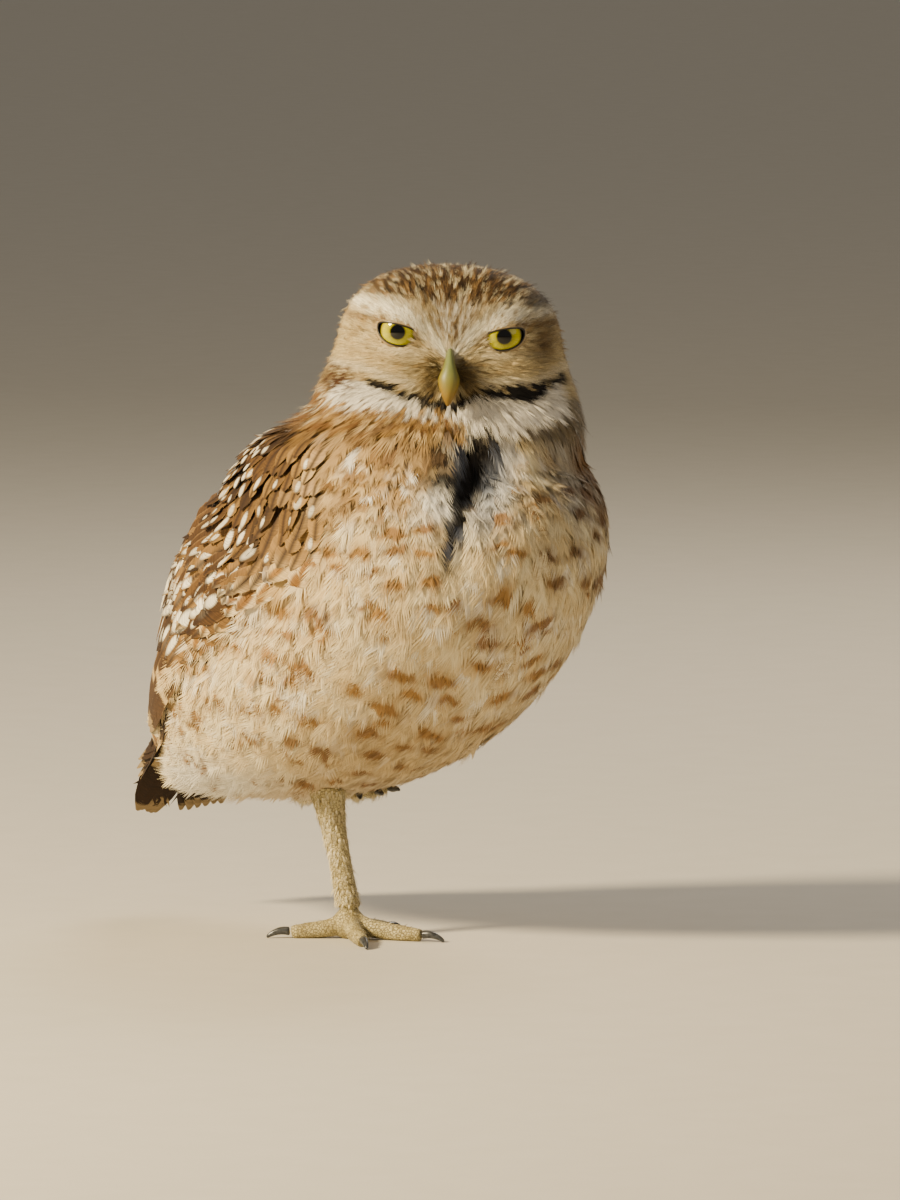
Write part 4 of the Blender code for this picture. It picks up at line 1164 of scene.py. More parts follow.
CHIN_LINE = (
    (-27, 176.6), (-23, 174.9), (-15, 173.0), (-7, 170.6), (-2, 169.0), (2, 169.0), (6, 171.2), (10, 173.4),
    (18, 174.6), (26, 174.2), (30, 176.0), (35, 178.6),
)
CHIN_HALF = (
    (-27, 0.4), (-22, 1.1), (-8, 1.5), (0, 1.6), (6, 1.5), (14, 1.5), (20, 2.3), (28, 2.4), (33, 1.4),
)
BROW_LINE = ((0, 185.5), (4, 189.0), (8, 193.4), (14, 197.4), (22, 199.4), (30, 199.4))
BROW_HALF = ((0, 1.8), (4, 2.2), (8, 2.6), (14, 2.7), (22, 2.2), (30, 1.6))
THROAT_EDGE = (
    (-40, 168.0), (-30, 166.4), (-14, 165.6), (0, 165.2), (8, 163.2), (14, 161.0), (22, 161.2), (34, 165.0),
    (40, 167.0),
)


def table(rows, value):
    places, values = zip(*rows)
    return np.interp(value, places, values)


def face_colours(points, draws):
    """Ground and mark colours on the head and neck, in the head's own frame."""
    x, y, z = head_place(points).T
    count = len(points)
    wide = np.abs(x)
    front = smooth(y, 2, -8)
    tone, pick, shade_of, soft = draws.T
    soft = soft - 0.5
    cheek = bump_at(z, 183, 7) * smooth(wide, 13, 20)
    lores = bump_at(wide, 7.5, 5.5) * bump_at(z, 178.6, 6.5) * front
    centre = bump_at(wide, 0, 8.0) * smooth(z, 188, 193) * front
    crown = smooth(z + soft * 3.0, 201.0, 203.2)
    crown = np.maximum(crown, smooth(y + soft * 3, -9, -1) * smooth(z, 196, 200))
    rear = smooth(y + soft * 5, -9, 3) * smooth(z, 203, 196)
    top = np.maximum(crown, rear)
    temple = smooth(y + soft * 3, -16, -8) * smooth(y, 4, -4) * bump_at(z, 184, 12)
    brow = bump_at(z + soft * 2.2, table(BROW_LINE, wide), table(BROW_HALF, wide)) * front
    below = bump_at(z + soft, table(BROW_LINE, wide) - 4.0, 0.9) * front * smooth(wide, 8, 12)
    cross = bump_at(z, 185.6, 1.5) * bump_at(wide, 15, 7) * front
    moustache = bump_at(z, table(CHIN_LINE, x) + 3.4, 1.5) * smooth(wide, 9, 13) * front
    corner = bump_at(wide, 29.5, 3.4) * bump_at(z, 190, 7) * (x > 0)
    curl = bump_at(x, 27, 4.5) * bump_at(z, 202.0, 2.6)
    line = table(CHIN_LINE, x)
    edge = table(THROAT_EDGE, x)
    throat = smooth(line - z, 0.5, 1.6) * smooth(z + soft * 3.2, edge - 0.6, edge + 0.6) * smooth(y, -13, -18)
    patch = bump_at(x, -34.5, 4.6) * bump_at(z + soft * 3, 175.5, 4.2)
    chin = smooth(np.abs(z - line + soft * 0.9) / table(CHIN_HALF, x), 1.35, 0.9)
    chin = chin * smooth(y, -8, -13) * smooth(x, -29, -25) * (pick > 0.10)
    collar = smooth(z + soft * 3.2, edge + 0.6, edge - 0.6)
    collar = np.maximum(collar, smooth(y, -17, -12) * smooth(z, 174, 170))
    tan = collar * smooth(x, 10, 4)
    far = collar * smooth(x, 4, 10)
    ground = paint(
        plain("A68A56", count),
        ("E8D8AC", tone * 0.9),
        ("54411E", smooth(pick, 0.76, 0.95) * 0.7),
        ("DCC490", cheek * 0.55),
        ("7C6634", lores * (0.12 + 0.5 * tone)),
        ("3A2B12", lores * (pick > 0.84) * 0.7),
        ("9C845E", centre * 0.8),
        ("EEE6D6", centre * (pick < 0.42) * 0.9),
        ("6B5236", centre * (pick > 0.80) * 0.8),
        ("4F3618", crown),
        ("7A5830", rear * (1 - crown)),
        ("271808", top * (pick > 0.60) * 0.9),
        ("A98450", top * (pick < 0.18) * 0.8),
        ("EEDFB8", top * (shade_of < 0.12)),
        ("B9A576", temple * 0.4),
        ("FBF3DC", np.minimum(1, brow * 1.5) * (0.75 + 0.25 * (pick < 0.75))),
        ("A98B5C", brow * (pick > 0.86) * 0.8),
        ("6A4A28", below * 0.7),
        ("E6D5AE", cross * 0.8),
        ("EADCBC", moustache * 0.8),
        ("5E4223", corner * 0.8),
        ("2E1E10", curl * 0.8),
        ("F4EDDF", throat),
        ("50300F", np.minimum(1, patch * 1.8) * (pick < 0.68)),
        ("0E0906", chin),
        ("A37C40", tan * (0.75 + 0.25 * tone)),
        ("D9BE8C", tan * (tone > 0.7) * 0.7),
        ("6B4420", tan * np.maximum(pick > 0.70, smooth(y, -20, -10)) * 0.75),
        ("E8DAB8", tan * smooth(y, -22, -12) * (shade_of < 0.22)),
        ("6F6454", far * (0.6 + 0.4 * tone)),
        # Black down under the throat band, partly painted shadow beneath the band's overhang.
        ("17120F", far * bump_at(x, 12, 5.0) * smooth(y, -14, -22) * 0.95),
        ("F7F0DE", collar * bump_at(x, 7.5, 1.3) * smooth(y, -18, -24)),
    )
    mark = plain("E8DAB8", count)
    return ground, np.concatenate([mark, ((shade_of < 0.3) * tan)[:, None]], axis=1)


# The pieces

def make_guide():
    """A smooth copy of the torso, neck and head together, with pads for the wings and balls for the eyes."""
    thing = joined_nodes("guide", BODY_NODES)
    shape = bmesh.new()
    shape.from_mesh(thing.data)
    for side, _ in SIDES:
        base = make_wing_base(side, PAD_HEIGHT)
        shape.from_mesh(base.data)
        bpy.data.objects.remove(base)
        radius = EYE_RADIUS + EYE_COVER
        bmesh.ops.create_icosphere(shape, subdivisions=4, radius=radius, matrix=eye_frame(side))
    shape.to_mesh(thing.data)
    shape.free()
    remesh(thing, SKIN_GRAIN, 4)
    return thing, Guide(*mesh_arrays(thing.data))


def near_eye(points):
    """1 over either eyeball, and 0 away from it."""
    weight = np.zeros(len(points))
    for sign, _ in SIDES:
        _, ey, _, reach = eye_reach(points, sign)
        weight = np.maximum(weight, smooth(reach, 9.0, 6.0) * (ey < -2))
    return weight


def skin_depth(points):
    """How far the skin lies under the coat's surface."""
    place = head_place(points)
    head = smooth(place[:, 2], 160, 170)
    face = head * smooth(place[:, 1], -5, -15)
    gap, _ = parting_weight(points)
    return mix(0.0040, 0.0022, head) - 0.0006 * face + PARTING_DEPTH * gap


PAD_HEIGHT = 0.0052


def wing_point(along, across, height, side):
    """A point over the folded wing: along from wrist to tip, across from upper to lower edge."""
    upper = spline(UPPER_EDGE, along * (len(UPPER_EDGE) - 1))
    lower = spline(LOWER_EDGE, along * (len(LOWER_EDGE) - 1))
    ring, angle = upper + (lower - upper) * across
    return surface(WING_RINGS, ring, side * angle, height)


def make_wing_base(side, height):
    """The folded arm and its feathers as a closed pad, rounded down at its edges."""
    along_steps, across_steps = 20, 16
    top, bottom = [], []
    for i in range(along_steps + 1):
        for j in range(across_steps + 1):
            along = 0.01 + 0.80 * i / along_steps
            across = 0.03 + 0.94 * j / across_steps
            crown = 1 - abs(2 * across - 1) ** 4
            front = min(1.0, 0.1 + along / WING_FRONT_TAPER)
            rise = height * (0.25 + 0.75 * crown) * front * (1 - 0.6 * along)
            top.append(wing_point(along, across, rise, side)[0])
            bottom.append(wing_point(along, across, -0.0060, side)[0])
    row = across_steps + 1
    count = len(top)
    faces = []
    for i in range(along_steps):
        for j in range(across_steps):
            a = i * row + j
            faces.append((a, a + row, a + row + 1, a + 1))
            faces.append((count + a, count + a + 1, count + a + row + 1, count + a + row))
    rim = list(range(row))
    rim += [i * row + row - 1 for i in range(1, along_steps + 1)]
    rim += [along_steps * row + j for j in range(row - 2, -1, -1)]
    rim += [i * row for i in range(along_steps - 1, 0, -1)]
    for i, here in enumerate(rim):
        there = rim[(i + 1) % len(rim)]
        faces.append((here, there, count + there, count + here))
    thing = mesh_object("wing_base", [tuple(p) for p in top + bottom], faces)
    face_outwards(thing)
    return thing


def coat_colours(points, draws):
    """The torso's colours below the neck and the head's above, for roots, stations and skin alike."""
    low, low_mark = belly_colours(points, draws)
    high, high_mark = face_colours(points, draws)
    weight = smooth(head_place(points)[:, 2], 157, 160)[:, None]
    return mix(low, high, weight), mix(low_mark, high_mark, weight)


def make_skin(skin, material):
    """One skin for torso, neck and head, sunk under the coat, with the arms' flesh."""
    skin.name = "skin"
    points, normals, _ = mesh_arrays(skin.data)
    draws = np.random.default_rng(5).random((len(points), 4))
    ground, _ = coat_colours(points, draws * 0.3 + 0.35)
    points = points - normals * skin_depth(points)[:, None]
    move_points(skin, points)
    ground = np.concatenate([ground * 0.75, np.ones((len(ground), 1))], axis=1)
    add_attribute(skin.data, "ground", "FLOAT_COLOR", ground)
    add_bake_map(skin.data, unwrap(points))
    shade(skin, material)
    attach(skin, "body_plumage", "torso", "neck", "head")


def coat_spacing(points):
    """Distance between roots at each place, and 0 where no feather of the body coat grows."""
    ring, angle = body_place(points)
    x, y, z = head_place(points).T
    head = smooth(z, 160, 168)
    body = np.interp(ring, (0, 1.5, 3, 8, 10), (0.0023, 0.0028, 0.0033, 0.0034, 0.0030))
    face = smooth(y, 2, -10)
    crown = np.where(z < 172, 0.00105, mix(0.00098, 0.00078, face))
    spacing = mix(body, crown, head) * SPARSE
    for sign, _ in SIDES:
        ex, ey, ez, reach = eye_reach(points, sign)
        out = sign * ex - LID_OUTWARD * 1000
        level = ez - LID_SLOPE * out
        tall = np.where(level > 0, LID_TOP, LID_BOTTOM) * 1000 + 0.6
        inside = (np.abs(out) / (LID_HALF_WIDTH * 1000 + 0.6)) ** 2.4 + (np.abs(level) / tall) ** 2.4 < 1
        spacing = np.where((reach < 8.5) & (ey < 0), 0.00066 * SPARSE, spacing)
        spacing = np.where(inside & (ey < 0), 0, spacing)
    bill = (np.abs(x) < 2.2) & (np.abs(z - 177.5) < 5.5) & (y < 0)
    spacing = np.where(bill, 0, spacing)
    along, across, off = wing_place(points)
    wide = np.abs(angle)
    torso = z < 160
    covered = (off < 2.5) & (along > 0.26) & (across > 0.10) & (across < np.where(along > 0.5, 0.90, 0.76))
    mantle = torso & (wide < 70) & ((off > 2.5) | (across < 0.10) | (along < 0.26))
    spacing = np.where(mantle, np.interp(ring, (0, 1, 3), (0.0030, 0.0038, 0.0048)) * SPARSE, spacing)
    shoulder = torso & (wide >= 70) & (wide < table(BACK_EDGE, ring)) & (ring < 3.2)
    spacing = np.where(shoulder, 0.0037 * SPARSE, spacing)
    return np.where(torso & covered & (ring < 9.5), 0, spacing)


def coat_kinds(roots):
    """The kind of feather at each root: on the head, on the back and shoulders, or down the breast."""
    _, y, z = head_place(roots).T
    ring, angle = body_place(roots)
    along, across, off = wing_place(roots)
    wide = np.abs(angle)
    head = z > 161
    back = (wide < 62) | ((off < 3) & (across < 0.76) & (ring < 8) & (along > 0.26))
    shoulder = (wide < table(BACK_EDGE, ring) - 4) & (ring < 3.2)
    throat = head & (z < 172.5) & (y < -2)
    crown = head & ((y > -2) | (z > 202.5))
    kinds = np.select(
        (throat, crown, head, back, shoulder, ring < 2.6, ring < 5.6),
        ("throat", "crown", "face", "mantle", "shoulder", "breast", "belly"),
        "vent",
    )
    cups = np.where(np.isin(kinds, ("mantle", "shoulder")), 14.0, 6.0)
    sides = np.where(roots[:, 0] < MIDLINE, "_right", "_left")
    sided = np.isin(kinds, ("breast", "belly", "vent", "shoulder"))
    return np.where(sided, np.char.add(kinds, sides), kinds), cups


COAT_STATIONS = 4


def walk_lines(guide, roots, normals, length, yaw):
    """Each feather's line along the surface from its root, with the direction out at each station."""
    here, out = roots, normals
    points, outs = [here], [out]
    for _ in range(COAT_STATIONS - 1):
        lie = coat_lie(here)
        lie = unit(lie - out * (lie * out).sum(axis=1)[:, None])
        lie = lie * np.cos(yaw)[:, None] + np.cross(out, lie) * np.sin(yaw)[:, None]
        here, out = guide.nearest(here + lie * (length / (COAT_STATIONS - 1))[:, None])
        points.append(here)
        outs.append(out)
    return np.stack(points, axis=1), np.stack(outs, axis=1)


def coat_sizes(points):
    """Length, half width, root depth and tip lift of the feathers, by their roots' places."""
    ring, angle = body_place(points)
    _, y, z = head_place(points).T
    wide = np.abs(angle)
    head = smooth(z, 160, 168)
    face = smooth(y, 2, -12) * smooth(z, 203, 199)
    throat = smooth(z, 173, 170) * smooth(y, -4, -14)
    eye = near_eye(points)
    back = smooth(wide, 80, 62) * (ring < 9)
    length = np.interp(ring, (0, 1, 3, 8, 10), (0.0125, 0.0165, 0.0215, 0.0235, 0.0250))
    half = np.interp(ring, (0, 1, 3, 8, 10), (0.0030, 0.0038, 0.0045, 0.0043, 0.0040))
    half = half * (1 + 0.05 * back)
    length = length * (1 - 0.25 * back)
    small = mix(mix(0.0052, 0.0046, face), 0.0062, throat) * (1 - 0.35 * eye)
    narrow = mix(mix(0.00082, 0.00072, face), 0.0010, throat) * (1 - 0.10 * eye)
    length = mix(length, small, head)
    half = mix(half, narrow, head)
    depth = 0.0034 * (1 - head) + 0.0012 * head * (1 - 0.9 * eye)
    loose = smooth(ring, 6.0, 8.5) * smooth(wide, 70, 110)
    along, across, off = wing_place(points)
    over = (off < 4) * smooth(across, 0.70, 0.78) * smooth(along, 0.15, 0.25) * smooth(along, 0.60, 0.45)
    over = np.maximum(over, (off < 5) * smooth(along, 0.30, 0.22) * (ring < 5) * (wide < 125) * 0.9)
    lift = mix(0.0004, 0.00035, head) + 0.0005 * throat * head + 0.0010 * loose + 0.0017 * over
    return length, half, depth, lift * (1 - 0.9 * eye)


def lay_coat(guide, coats, seed):
    """Walks each feather's line along the surface, and deals the feathers out to the coats."""
    roots, normals = guide.scatter(coat_spacing, seed, COAT_TRIES)
    draw = np.random.default_rng(seed + 1)
    length, half, depth, lift = coat_sizes(roots)
    count = len(roots)
    length = length * draw.uniform(0.85, 1.15, count)
    half = half * draw.uniform(0.88, 1.12, count)
    head = smooth(head_place(roots)[:, 2], 160, 166)
    around, down = around_body(roots).T
    swirl = np.sin(around / 8.5 + 1.3 * np.sin(down / 17)) * np.sin(down / 11 + around / 23)
    yaw = draw.normal(0, 0.08, count) + 0.20 * swirl * (1 - head)
    lines, outs = walk_lines(guide, roots, normals, length, yaw)
    flat = lines.reshape(-1, 3)
    gap, _ = parting_weight(flat)
    sink = PARTING_DEPTH * gap.reshape(count, COAT_STATIONS)
    tips = lift * draw.uniform(0.0, 2.0, count) * np.where(draw.random(count) < 0.14, 3.0, 1.0)
    tips = np.minimum(tips, TIP_LIFT_MOST)
    rises = np.stack([-depth, -depth * 0.42, -depth * 0.05, tips], axis=1) - sink
    rolls = draw.normal(0, 0.08, count)
    draws = np.repeat(draw.random((count, 4)), COAT_STATIONS, axis=0)
    ground, mark = coat_colours(flat, draws)
    ground = ground.reshape(count, COAT_STATIONS, 3)
    on_head = roots[:, 2] > 0.160
    ground[on_head] = ground[on_head, 2:3]
    mark = mark.reshape(count, COAT_STATIONS, 4)[:, 2]
    spots = around_body(flat).reshape(count, COAT_STATIONS, 2)
    lines = lines + outs * rises[..., None]
    kinds, cups = coat_kinds(roots)
    for kind, coat in coats.items():
        chosen = kinds == kind
        if chosen.any():
            coat.add(*(values[chosen] for values in (lines, outs, half, rolls, cups, ground, mark, spots)))


# Rows of the wing: name, count, across first and last, roots, tips, width, height, kind.
WING_ROWS = (
    ("primaries", 9, (0.97, 0.40), (0.30, 0.30), (1.00, 0.80), 0.0104, 0.0016, "flight"),
    ("secondaries", 11, (0.88, 0.05), (0.28, 0.26), (0.76, 0.62), 0.0112, 0.0036, "flight"),
    ("greater_coverts", 14, (0.90, 0.03), (0.20, 0.16), (0.52, 0.42), 0.0094, 0.0046, "covert"),
    ("median_coverts", 15, (0.86, 0.04), (0.14, 0.10), (0.42, 0.33), 0.0088, 0.0052, "covert"),
    ("lesser_coverts_4", 15, (0.82, 0.02), (0.11, 0.08), (0.35, 0.28), 0.0082, 0.0057, "covert"),
    ("lesser_coverts_3", 15, (0.80, 0.02), (0.09, 0.07), (0.29, 0.23), 0.0078, 0.0059, "covert"),
    ("lesser_coverts_2", 14, (0.76, 0.02), (0.06, 0.05), (0.23, 0.18), 0.0076, 0.0060, "covert"),
    ("scapulars_4", 7, (0.16, -0.12), (0.34, 0.34), (0.64, 0.60), 0.0110, 0.0056, "mantle"),
    ("scapulars_3", 7, (0.22, -0.12), (0.22, 0.22), (0.50, 0.46), 0.0112, 0.0063, "mantle"),
    ("scapulars_2", 8, (0.30, -0.12), (0.13, 0.13), (0.38, 0.34), 0.0108, 0.0066, "mantle"),
)
WING_STATIONS = 6


def wing_line(root, tip, heights, side):
    """A feather's line over the folded wing, low at its root, at the wing's front and at its lower edge."""
    points, outs = [], []
    for i in range(WING_STATIONS):
        part = i / (WING_STATIONS - 1)
        along, across = (between(ends, part) for ends in zip(root, tip))
        front = 0.30 + 0.70 * min(1.0, max(0.0, along) / WING_FRONT_TAPER)
        edge = 1 - 0.62 * max(0.0, 2 * across - 1) ** 4
        rise = between(heights, min(1.0, 1.6 * part))
        point, out = wing_point(max(along, 0.0), across, rise * front * edge, side)
        points.append(point)
        outs.append(out)
    return points, outs


def wing_colours(row, kind, draw):
    """Ground and mark colours of one feather of the wing."""
    brown, dark, tan = (np.array(colour(name)[:3]) for name in ("5C3E1C", "2A1A0B", "A27C44"))
    if kind == "flight":
        ground = dark * 0.9 + brown * 0.1 if row == "primaries" else dark * 0.5 + brown * 0.5
        return ground, (*colour("CDB07C")[:3], 0.9)
    part = draw.random()
    ground = brown * (1 - part * 0.8) + (tan if draw.random() > 0.55 else dark) * part * 0.8
    return ground, (*colour("F8F0DC")[:3], draw.choice((1.0, 1.0, 0.9, 0.8, 0.5, 0.05)))


def lay_wing(side, coats, seed):
    """Rows of feathers over the folded wing, each from one edge to the other."""
    draw = random.Random(seed)
    for row, count, across, roots, tips, width, height, kind in WING_ROWS:
        loose = 1.0 if kind == "flight" else 2.0
        feathers = []
        for i in range(count):
            part = i / (count - 1)
            low = between(across, part)
            start = between(roots, part) + draw.uniform(-0.008, 0.008) * loose
            reach = min(1.0, between(tips, part) + draw.uniform(-0.012, 0.012) * loose)
            root = (start, low + draw.uniform(-0.01, 0.01) * loose)
            tip = (reach, low + draw.uniform(-0.012, 0.012) * loose)
            points, out = wing_line(root, tip, (0.0006, height + draw.uniform(-0.0001, 0.0001)), side)
            ground, mark = wing_colours(row, kind, draw)
            half = width * draw.uniform(1 - 0.08 * loose, 1 + 0.08 * loose) / 2
            roll = -side * math.radians(draw.uniform(4, 12))
            feathers.append((points, out, half, roll, 16.0, ground, mark))
        coats[kind].add(*map(np.array, zip(*feathers)))


TAIL_PAIRS = 6


def lay_tail(coat, seed):
    """Six pairs of tail feathers in a low fan, the middle pair on top."""
    draw = random.Random(seed)
    root = Vector((MIDLINE, -TAIL_ROOT[0], TAIL_ROOT[1]))
    tip = Vector((MIDLINE, -TAIL_TIP[0], TAIL_TIP[1]))
    along = (tip - root).normalized()
    across = Vector((1, 0, 0))
    up = across.cross(along).normalized()
    if up.z < 0:
        up = -up
    length = (tip - root).length
    feathers = []
    for pair in range(TAIL_PAIRS):
        for side, _ in SIDES:
            turn = side * TAIL_SPREAD * 1.05 * (pair + 0.35) / TAIL_PAIRS
            reach = length * (1.06 - 0.012 * pair) + draw.uniform(-0.0006, 0.0006)
            rise = -TAIL_STEP * pair - (0.00045 if side > 0 else 0)
            heading = along * math.cos(turn) + across * math.sin(turn)
            points = []
            for i in range(WING_STATIONS):
                part = i / (WING_STATIONS - 1)
                point = root + across * (side * 0.004) + heading * (reach * part)
                points.append(point + up * (rise * min(1.0, 2.5 * part + 0.4)))
            half = 0.0074 * draw.uniform(0.95, 1.05)
            ground, mark = colour("2E1D0D")[:3], (*colour("D2B684")[:3], 0.85)
            feathers.append((points, [up] * WING_STATIONS, half, side * math.radians(9), 6.0, ground, mark))
    coat.add(*map(np.array, zip(*feathers)))


def make_coat(guide, materials):
    soft_forms = [soft_feather(seed) for seed in range(6)]
    tuft_forms = [tuft(20 + seed, 7, 0.95, 0.12) for seed in range(6)]
    throat_forms = [tuft(30 + seed, 9, 1.1, 0.12) for seed in range(6)]
    firm_forms = [firm_feather(40 + seed, 9, COVERT_PROFILE, 2, 8) for seed in range(5)]
    flight_forms = [firm_feather(50 + seed, 18, FLIGHT_PROFILE, 3, 6, 0.16) for seed in range(3)]
    coats = {
        "face": Coat("face_feathers", tuft_forms, 1),
        "crown": Coat("crown_feathers", tuft_forms, 2),
        "throat": Coat("throat_feathers", throat_forms, 3),
        "mantle": Coat("mantle_feathers", firm_forms, 7),
    }
    for kind, seed in (("breast", 4), ("belly", 5), ("vent", 6), ("shoulder", 8)):
        forms = firm_forms if kind == "shoulder" else soft_forms
        for _, word in SIDES:
            coats[f"{kind}_{word}"] = Coat(f"{kind}_feathers_{word}", forms, seed)
    lay_coat(guide, coats, 100)
    for kind, coat in coats.items():
        look = kind.split("_")[0].replace("shoulder", "mantle")
        slot = "head_plumage" if kind in ("face", "crown", "throat") else "body_plumage"
        attach(coat.build(materials[look]), slot)
    for side, word in SIDES:
        wing = {
            "flight": Coat(f"flight_feathers_{word}", flight_forms, 11),
            "covert": Coat(f"covert_feathers_{word}", firm_forms, 12),
            "mantle": Coat(f"scapular_feathers_{word}", firm_forms, 13),
        }
        lay_wing(side, wing, 60 + side)
        for kind, coat in wing.items():
            nodes = (f"wing_{word}",) if kind == "flight" else ()
            attach(coat.build(materials[kind]), "wing_plumage", *nodes)
    tail = Coat("tail_feathers", flight_forms, 21)
    lay_tail(tail, 70)
    attach(tail.build(materials["flight"]), "tail_plumage", "tail")


def make_eyes(material):
    """Each eyeball, with rings close together at the front, where the iris is."""
    around, rings = 64, 40
    for side, word in SIDES:
        points, places = [], []
        for i in range(1, rings):
            turn = math.pi * (i / rings) ** 1.35
            for j in range(around):
                spin = 2 * math.pi * j / around
                bulge = EYE_RADIUS - 0.00005 + 0.00025 * math.exp(-((turn / 0.5) ** 2))
                flat = math.sin(turn) * bulge
                points.append((flat * math.cos(spin), -math.cos(turn) * bulge, flat * math.sin(spin)))
                places.append((turn, math.cos(spin), math.sin(spin)))
        front, behind = len(points), len(points) + 1
        points += [(0.0, -EYE_RADIUS - 0.0002, 0.0), (0.0, EYE_RADIUS - 0.00005, 0.0)]
        places += [(0.0, 0.0, 0.0), (math.pi, 0.0, 0.0)]
        last = (rings - 2) * around
        faces = []
        for j in range(around):
            k = (j + 1) % around
            faces += [(front, k, j), (behind, last + j, last + k)]
            for i in range(rings - 2):
                a, b = i * around + j, i * around + k
                faces += [(a, b, b + around), (a, b + around, a + around)]
        eye = mesh_object(f"eyeball_{word}", placed(points, np.array(eye_frame(side))), faces)
        face_outwards(eye)
        add_attribute(eye.data, "eye_place", "FLOAT_VECTOR", places)
        shade(eye, material)
        attach(eye, "eye", f"eye_{word}")


# The lids' rows from the rim outwards: how far out from the opening, and how far over the eyeball.
LID_ROWS = (
    (0.0003, -0.0001), (0.0, 0.00015), (0.0001, 0.00045), (0.0004, 0.0006), (0.0008, 0.0005),
    (0.0013, 0.0003), (0.0022, 0.0003), (0.0034, 0.0002), (0.0044, 0.0), (0.0046, -0.0008), (0.0010, -0.0006),
)


def lid_outline(turn, grow):
    """The edge between the lids in the eye's frame, at the owl's left: flat above, round below."""
    up = math.sin(turn)
    out = (LID_HALF_WIDTH + grow) * math.cos(turn)
    rise = (LID_TOP + grow) * rounded(up, 3.4) if up > 0 else (LID_BOTTOM + grow) * rounded(up, 2.1)
    return out + LID_OUTWARD, rise + LID_SLOPE * out


def make_lids(material):
    """Lids over each eyeball: a black rim rolled at its edge, and a wider part that tiny feathers cover."""
    around = 56
    for side, word in SIDES:
        points, faces, rims = [], [], []
        for row, (grow, over) in enumerate(LID_ROWS):
            radius = EYE_RADIUS + over
            a, b = row * around, (row + 1) % len(LID_ROWS) * around
            for j in range(around):
                x, z = lid_outline(2 * math.pi * j / around, grow)
                flat = math.hypot(x, z)
                if flat > radius * 0.98:
                    x, z = x * radius * 0.98 / flat, z * radius * 0.98 / flat
                points.append((side * x, -math.sqrt(radius * radius - x * x - z * z), z))
                rims.append(min(1.0, max(0.0, (grow - 0.0005) / 0.0004)))
                k = (j + 1) % around
                faces.append((a + j, a + k, b + k, b + j))
        lid = mesh_object(f"eyelids_{word}", placed(points, np.array(eye_frame(side))), faces)
        add_attribute(lid.data, "rim", "FLOAT", rims)
        face_outwards(lid)
        shade(lid, material)
        attach(lid, "head_plumage")


# Bill: depth ahead of the head's centre, height, half width, half height, from base to tip.
BILL_UPPER = (
    (0.0260, 0.1835, 0.0016, 0.0040),
    (0.0320, 0.1832, 0.0015, 0.0040),
    (0.0358, 0.1812, 0.0021, 0.0037),
    (0.0381, 0.1780, 0.0033, 0.0033),
    (0.0390, 0.1740, 0.0022, 0.0022),
    (0.0386, 0.1704, 0.0005, 0.0007),
)
BILL_LOWER = (
    (0.0260, 0.1768, 0.0034, 0.0022),
    (0.0310, 0.1760, 0.0032, 0.0020),
    (0.0345, 0.1745, 0.0024, 0.0015),
    (0.0362, 0.1728, 0.0009, 0.0007),
)
NOSTRIL_PLACE = (0.0021, 0.0346, 0.1822)
NOSTRIL_RADIUS = 0.0009


def bill_piece(name, rows, ridge):
    """One half of the bill as a fine loft, ridged along its top."""
    around, steps = 32, 28
    points, places = [], []
    for i in range(steps + 1):
        place = (len(rows) - 1) * i / steps
        here = spline(rows, place)
        ahead = spline(rows, min(place + 0.1, len(rows) - 1))
        behind = spline(rows, max(place - 0.1, 0))
        along = Vector((0, behind[0] - ahead[0], ahead[1] - behind[1])).normalized()
        up = Vector((1, 0, 0)).cross(along)
        for j in range(around):
            turn = 2 * math.pi * j / around
            rise = math.sin(turn)
            pinch = 1 - ridge * max(0.0, rise) ** 2
            point = Vector((math.cos(turn) * here[2] * pinch, -here[0], here[1])) + up * (rise * here[3])
            points.append(tuple(point))
            places.append((i / steps, max(0.0, rise if up.y < 0 else -rise), 0.0))
    quads, ends = [], []
    for a in range(0, steps * around, around):
        for j in range(around):
            k = (j + 1) % around
            quads.append((a + j, a + k, a + around + k, a + around + j))
    for start in (0, steps * around):
        middle = len(points)
        points.append(tuple(np.mean(points[start : start + around], axis=0)))
        places.append((places[start][0], 0.5, 0.0))
        ends += [(start + j, start + (j + 1) % around, middle) for j in range(around)]
    mesh = bpy.data.meshes.new(name)
    mesh.from_pydata(points, [], quads + ends)
    thing = add_object(name, mesh)
    add_attribute(mesh, "bill_place", "FLOAT_VECTOR", places)
    face_outwards(thing)
    return thing


def make_bill(material):
    """Both halves of the bill, with a nostril cut into each side of the upper one."""
    upper = bill_piece("bill_upper_horn", BILL_UPPER, 0.35)
    across, ahead, height = NOSTRIL_PLACE
    for side, _ in SIDES:
        mesh = bpy.data.meshes.new("nostril")
        shape = bmesh.new()
        bmesh.ops.create_uvsphere(shape, u_segments=20, v_segments=12, radius=NOSTRIL_RADIUS)
        bmesh.ops.scale(shape, verts=shape.verts, vec=(0.8, 1.3, 1.0))
        bmesh.ops.translate(shape, verts=shape.verts, vec=(side * across, -ahead, height))
        shape.to_mesh(mesh)
        shape.free()
        cutter = add_object("nostril", mesh)
        cut = upper.modifiers.new("Nostril", "BOOLEAN")
        cut.operation = "DIFFERENCE"
        cut.object = cutter
        apply_modifiers(upper)
        bpy.data.objects.remove(cutter)
    lower = bill_piece("bill_lower_horn", BILL_LOWER, 0.0)
    for piece, node in ((upper, "bill_upper"), (lower, "bill_lower")):
        piece.data.transform(head_frame())
        shade(piece, material)
        attach(piece, "bill", node)


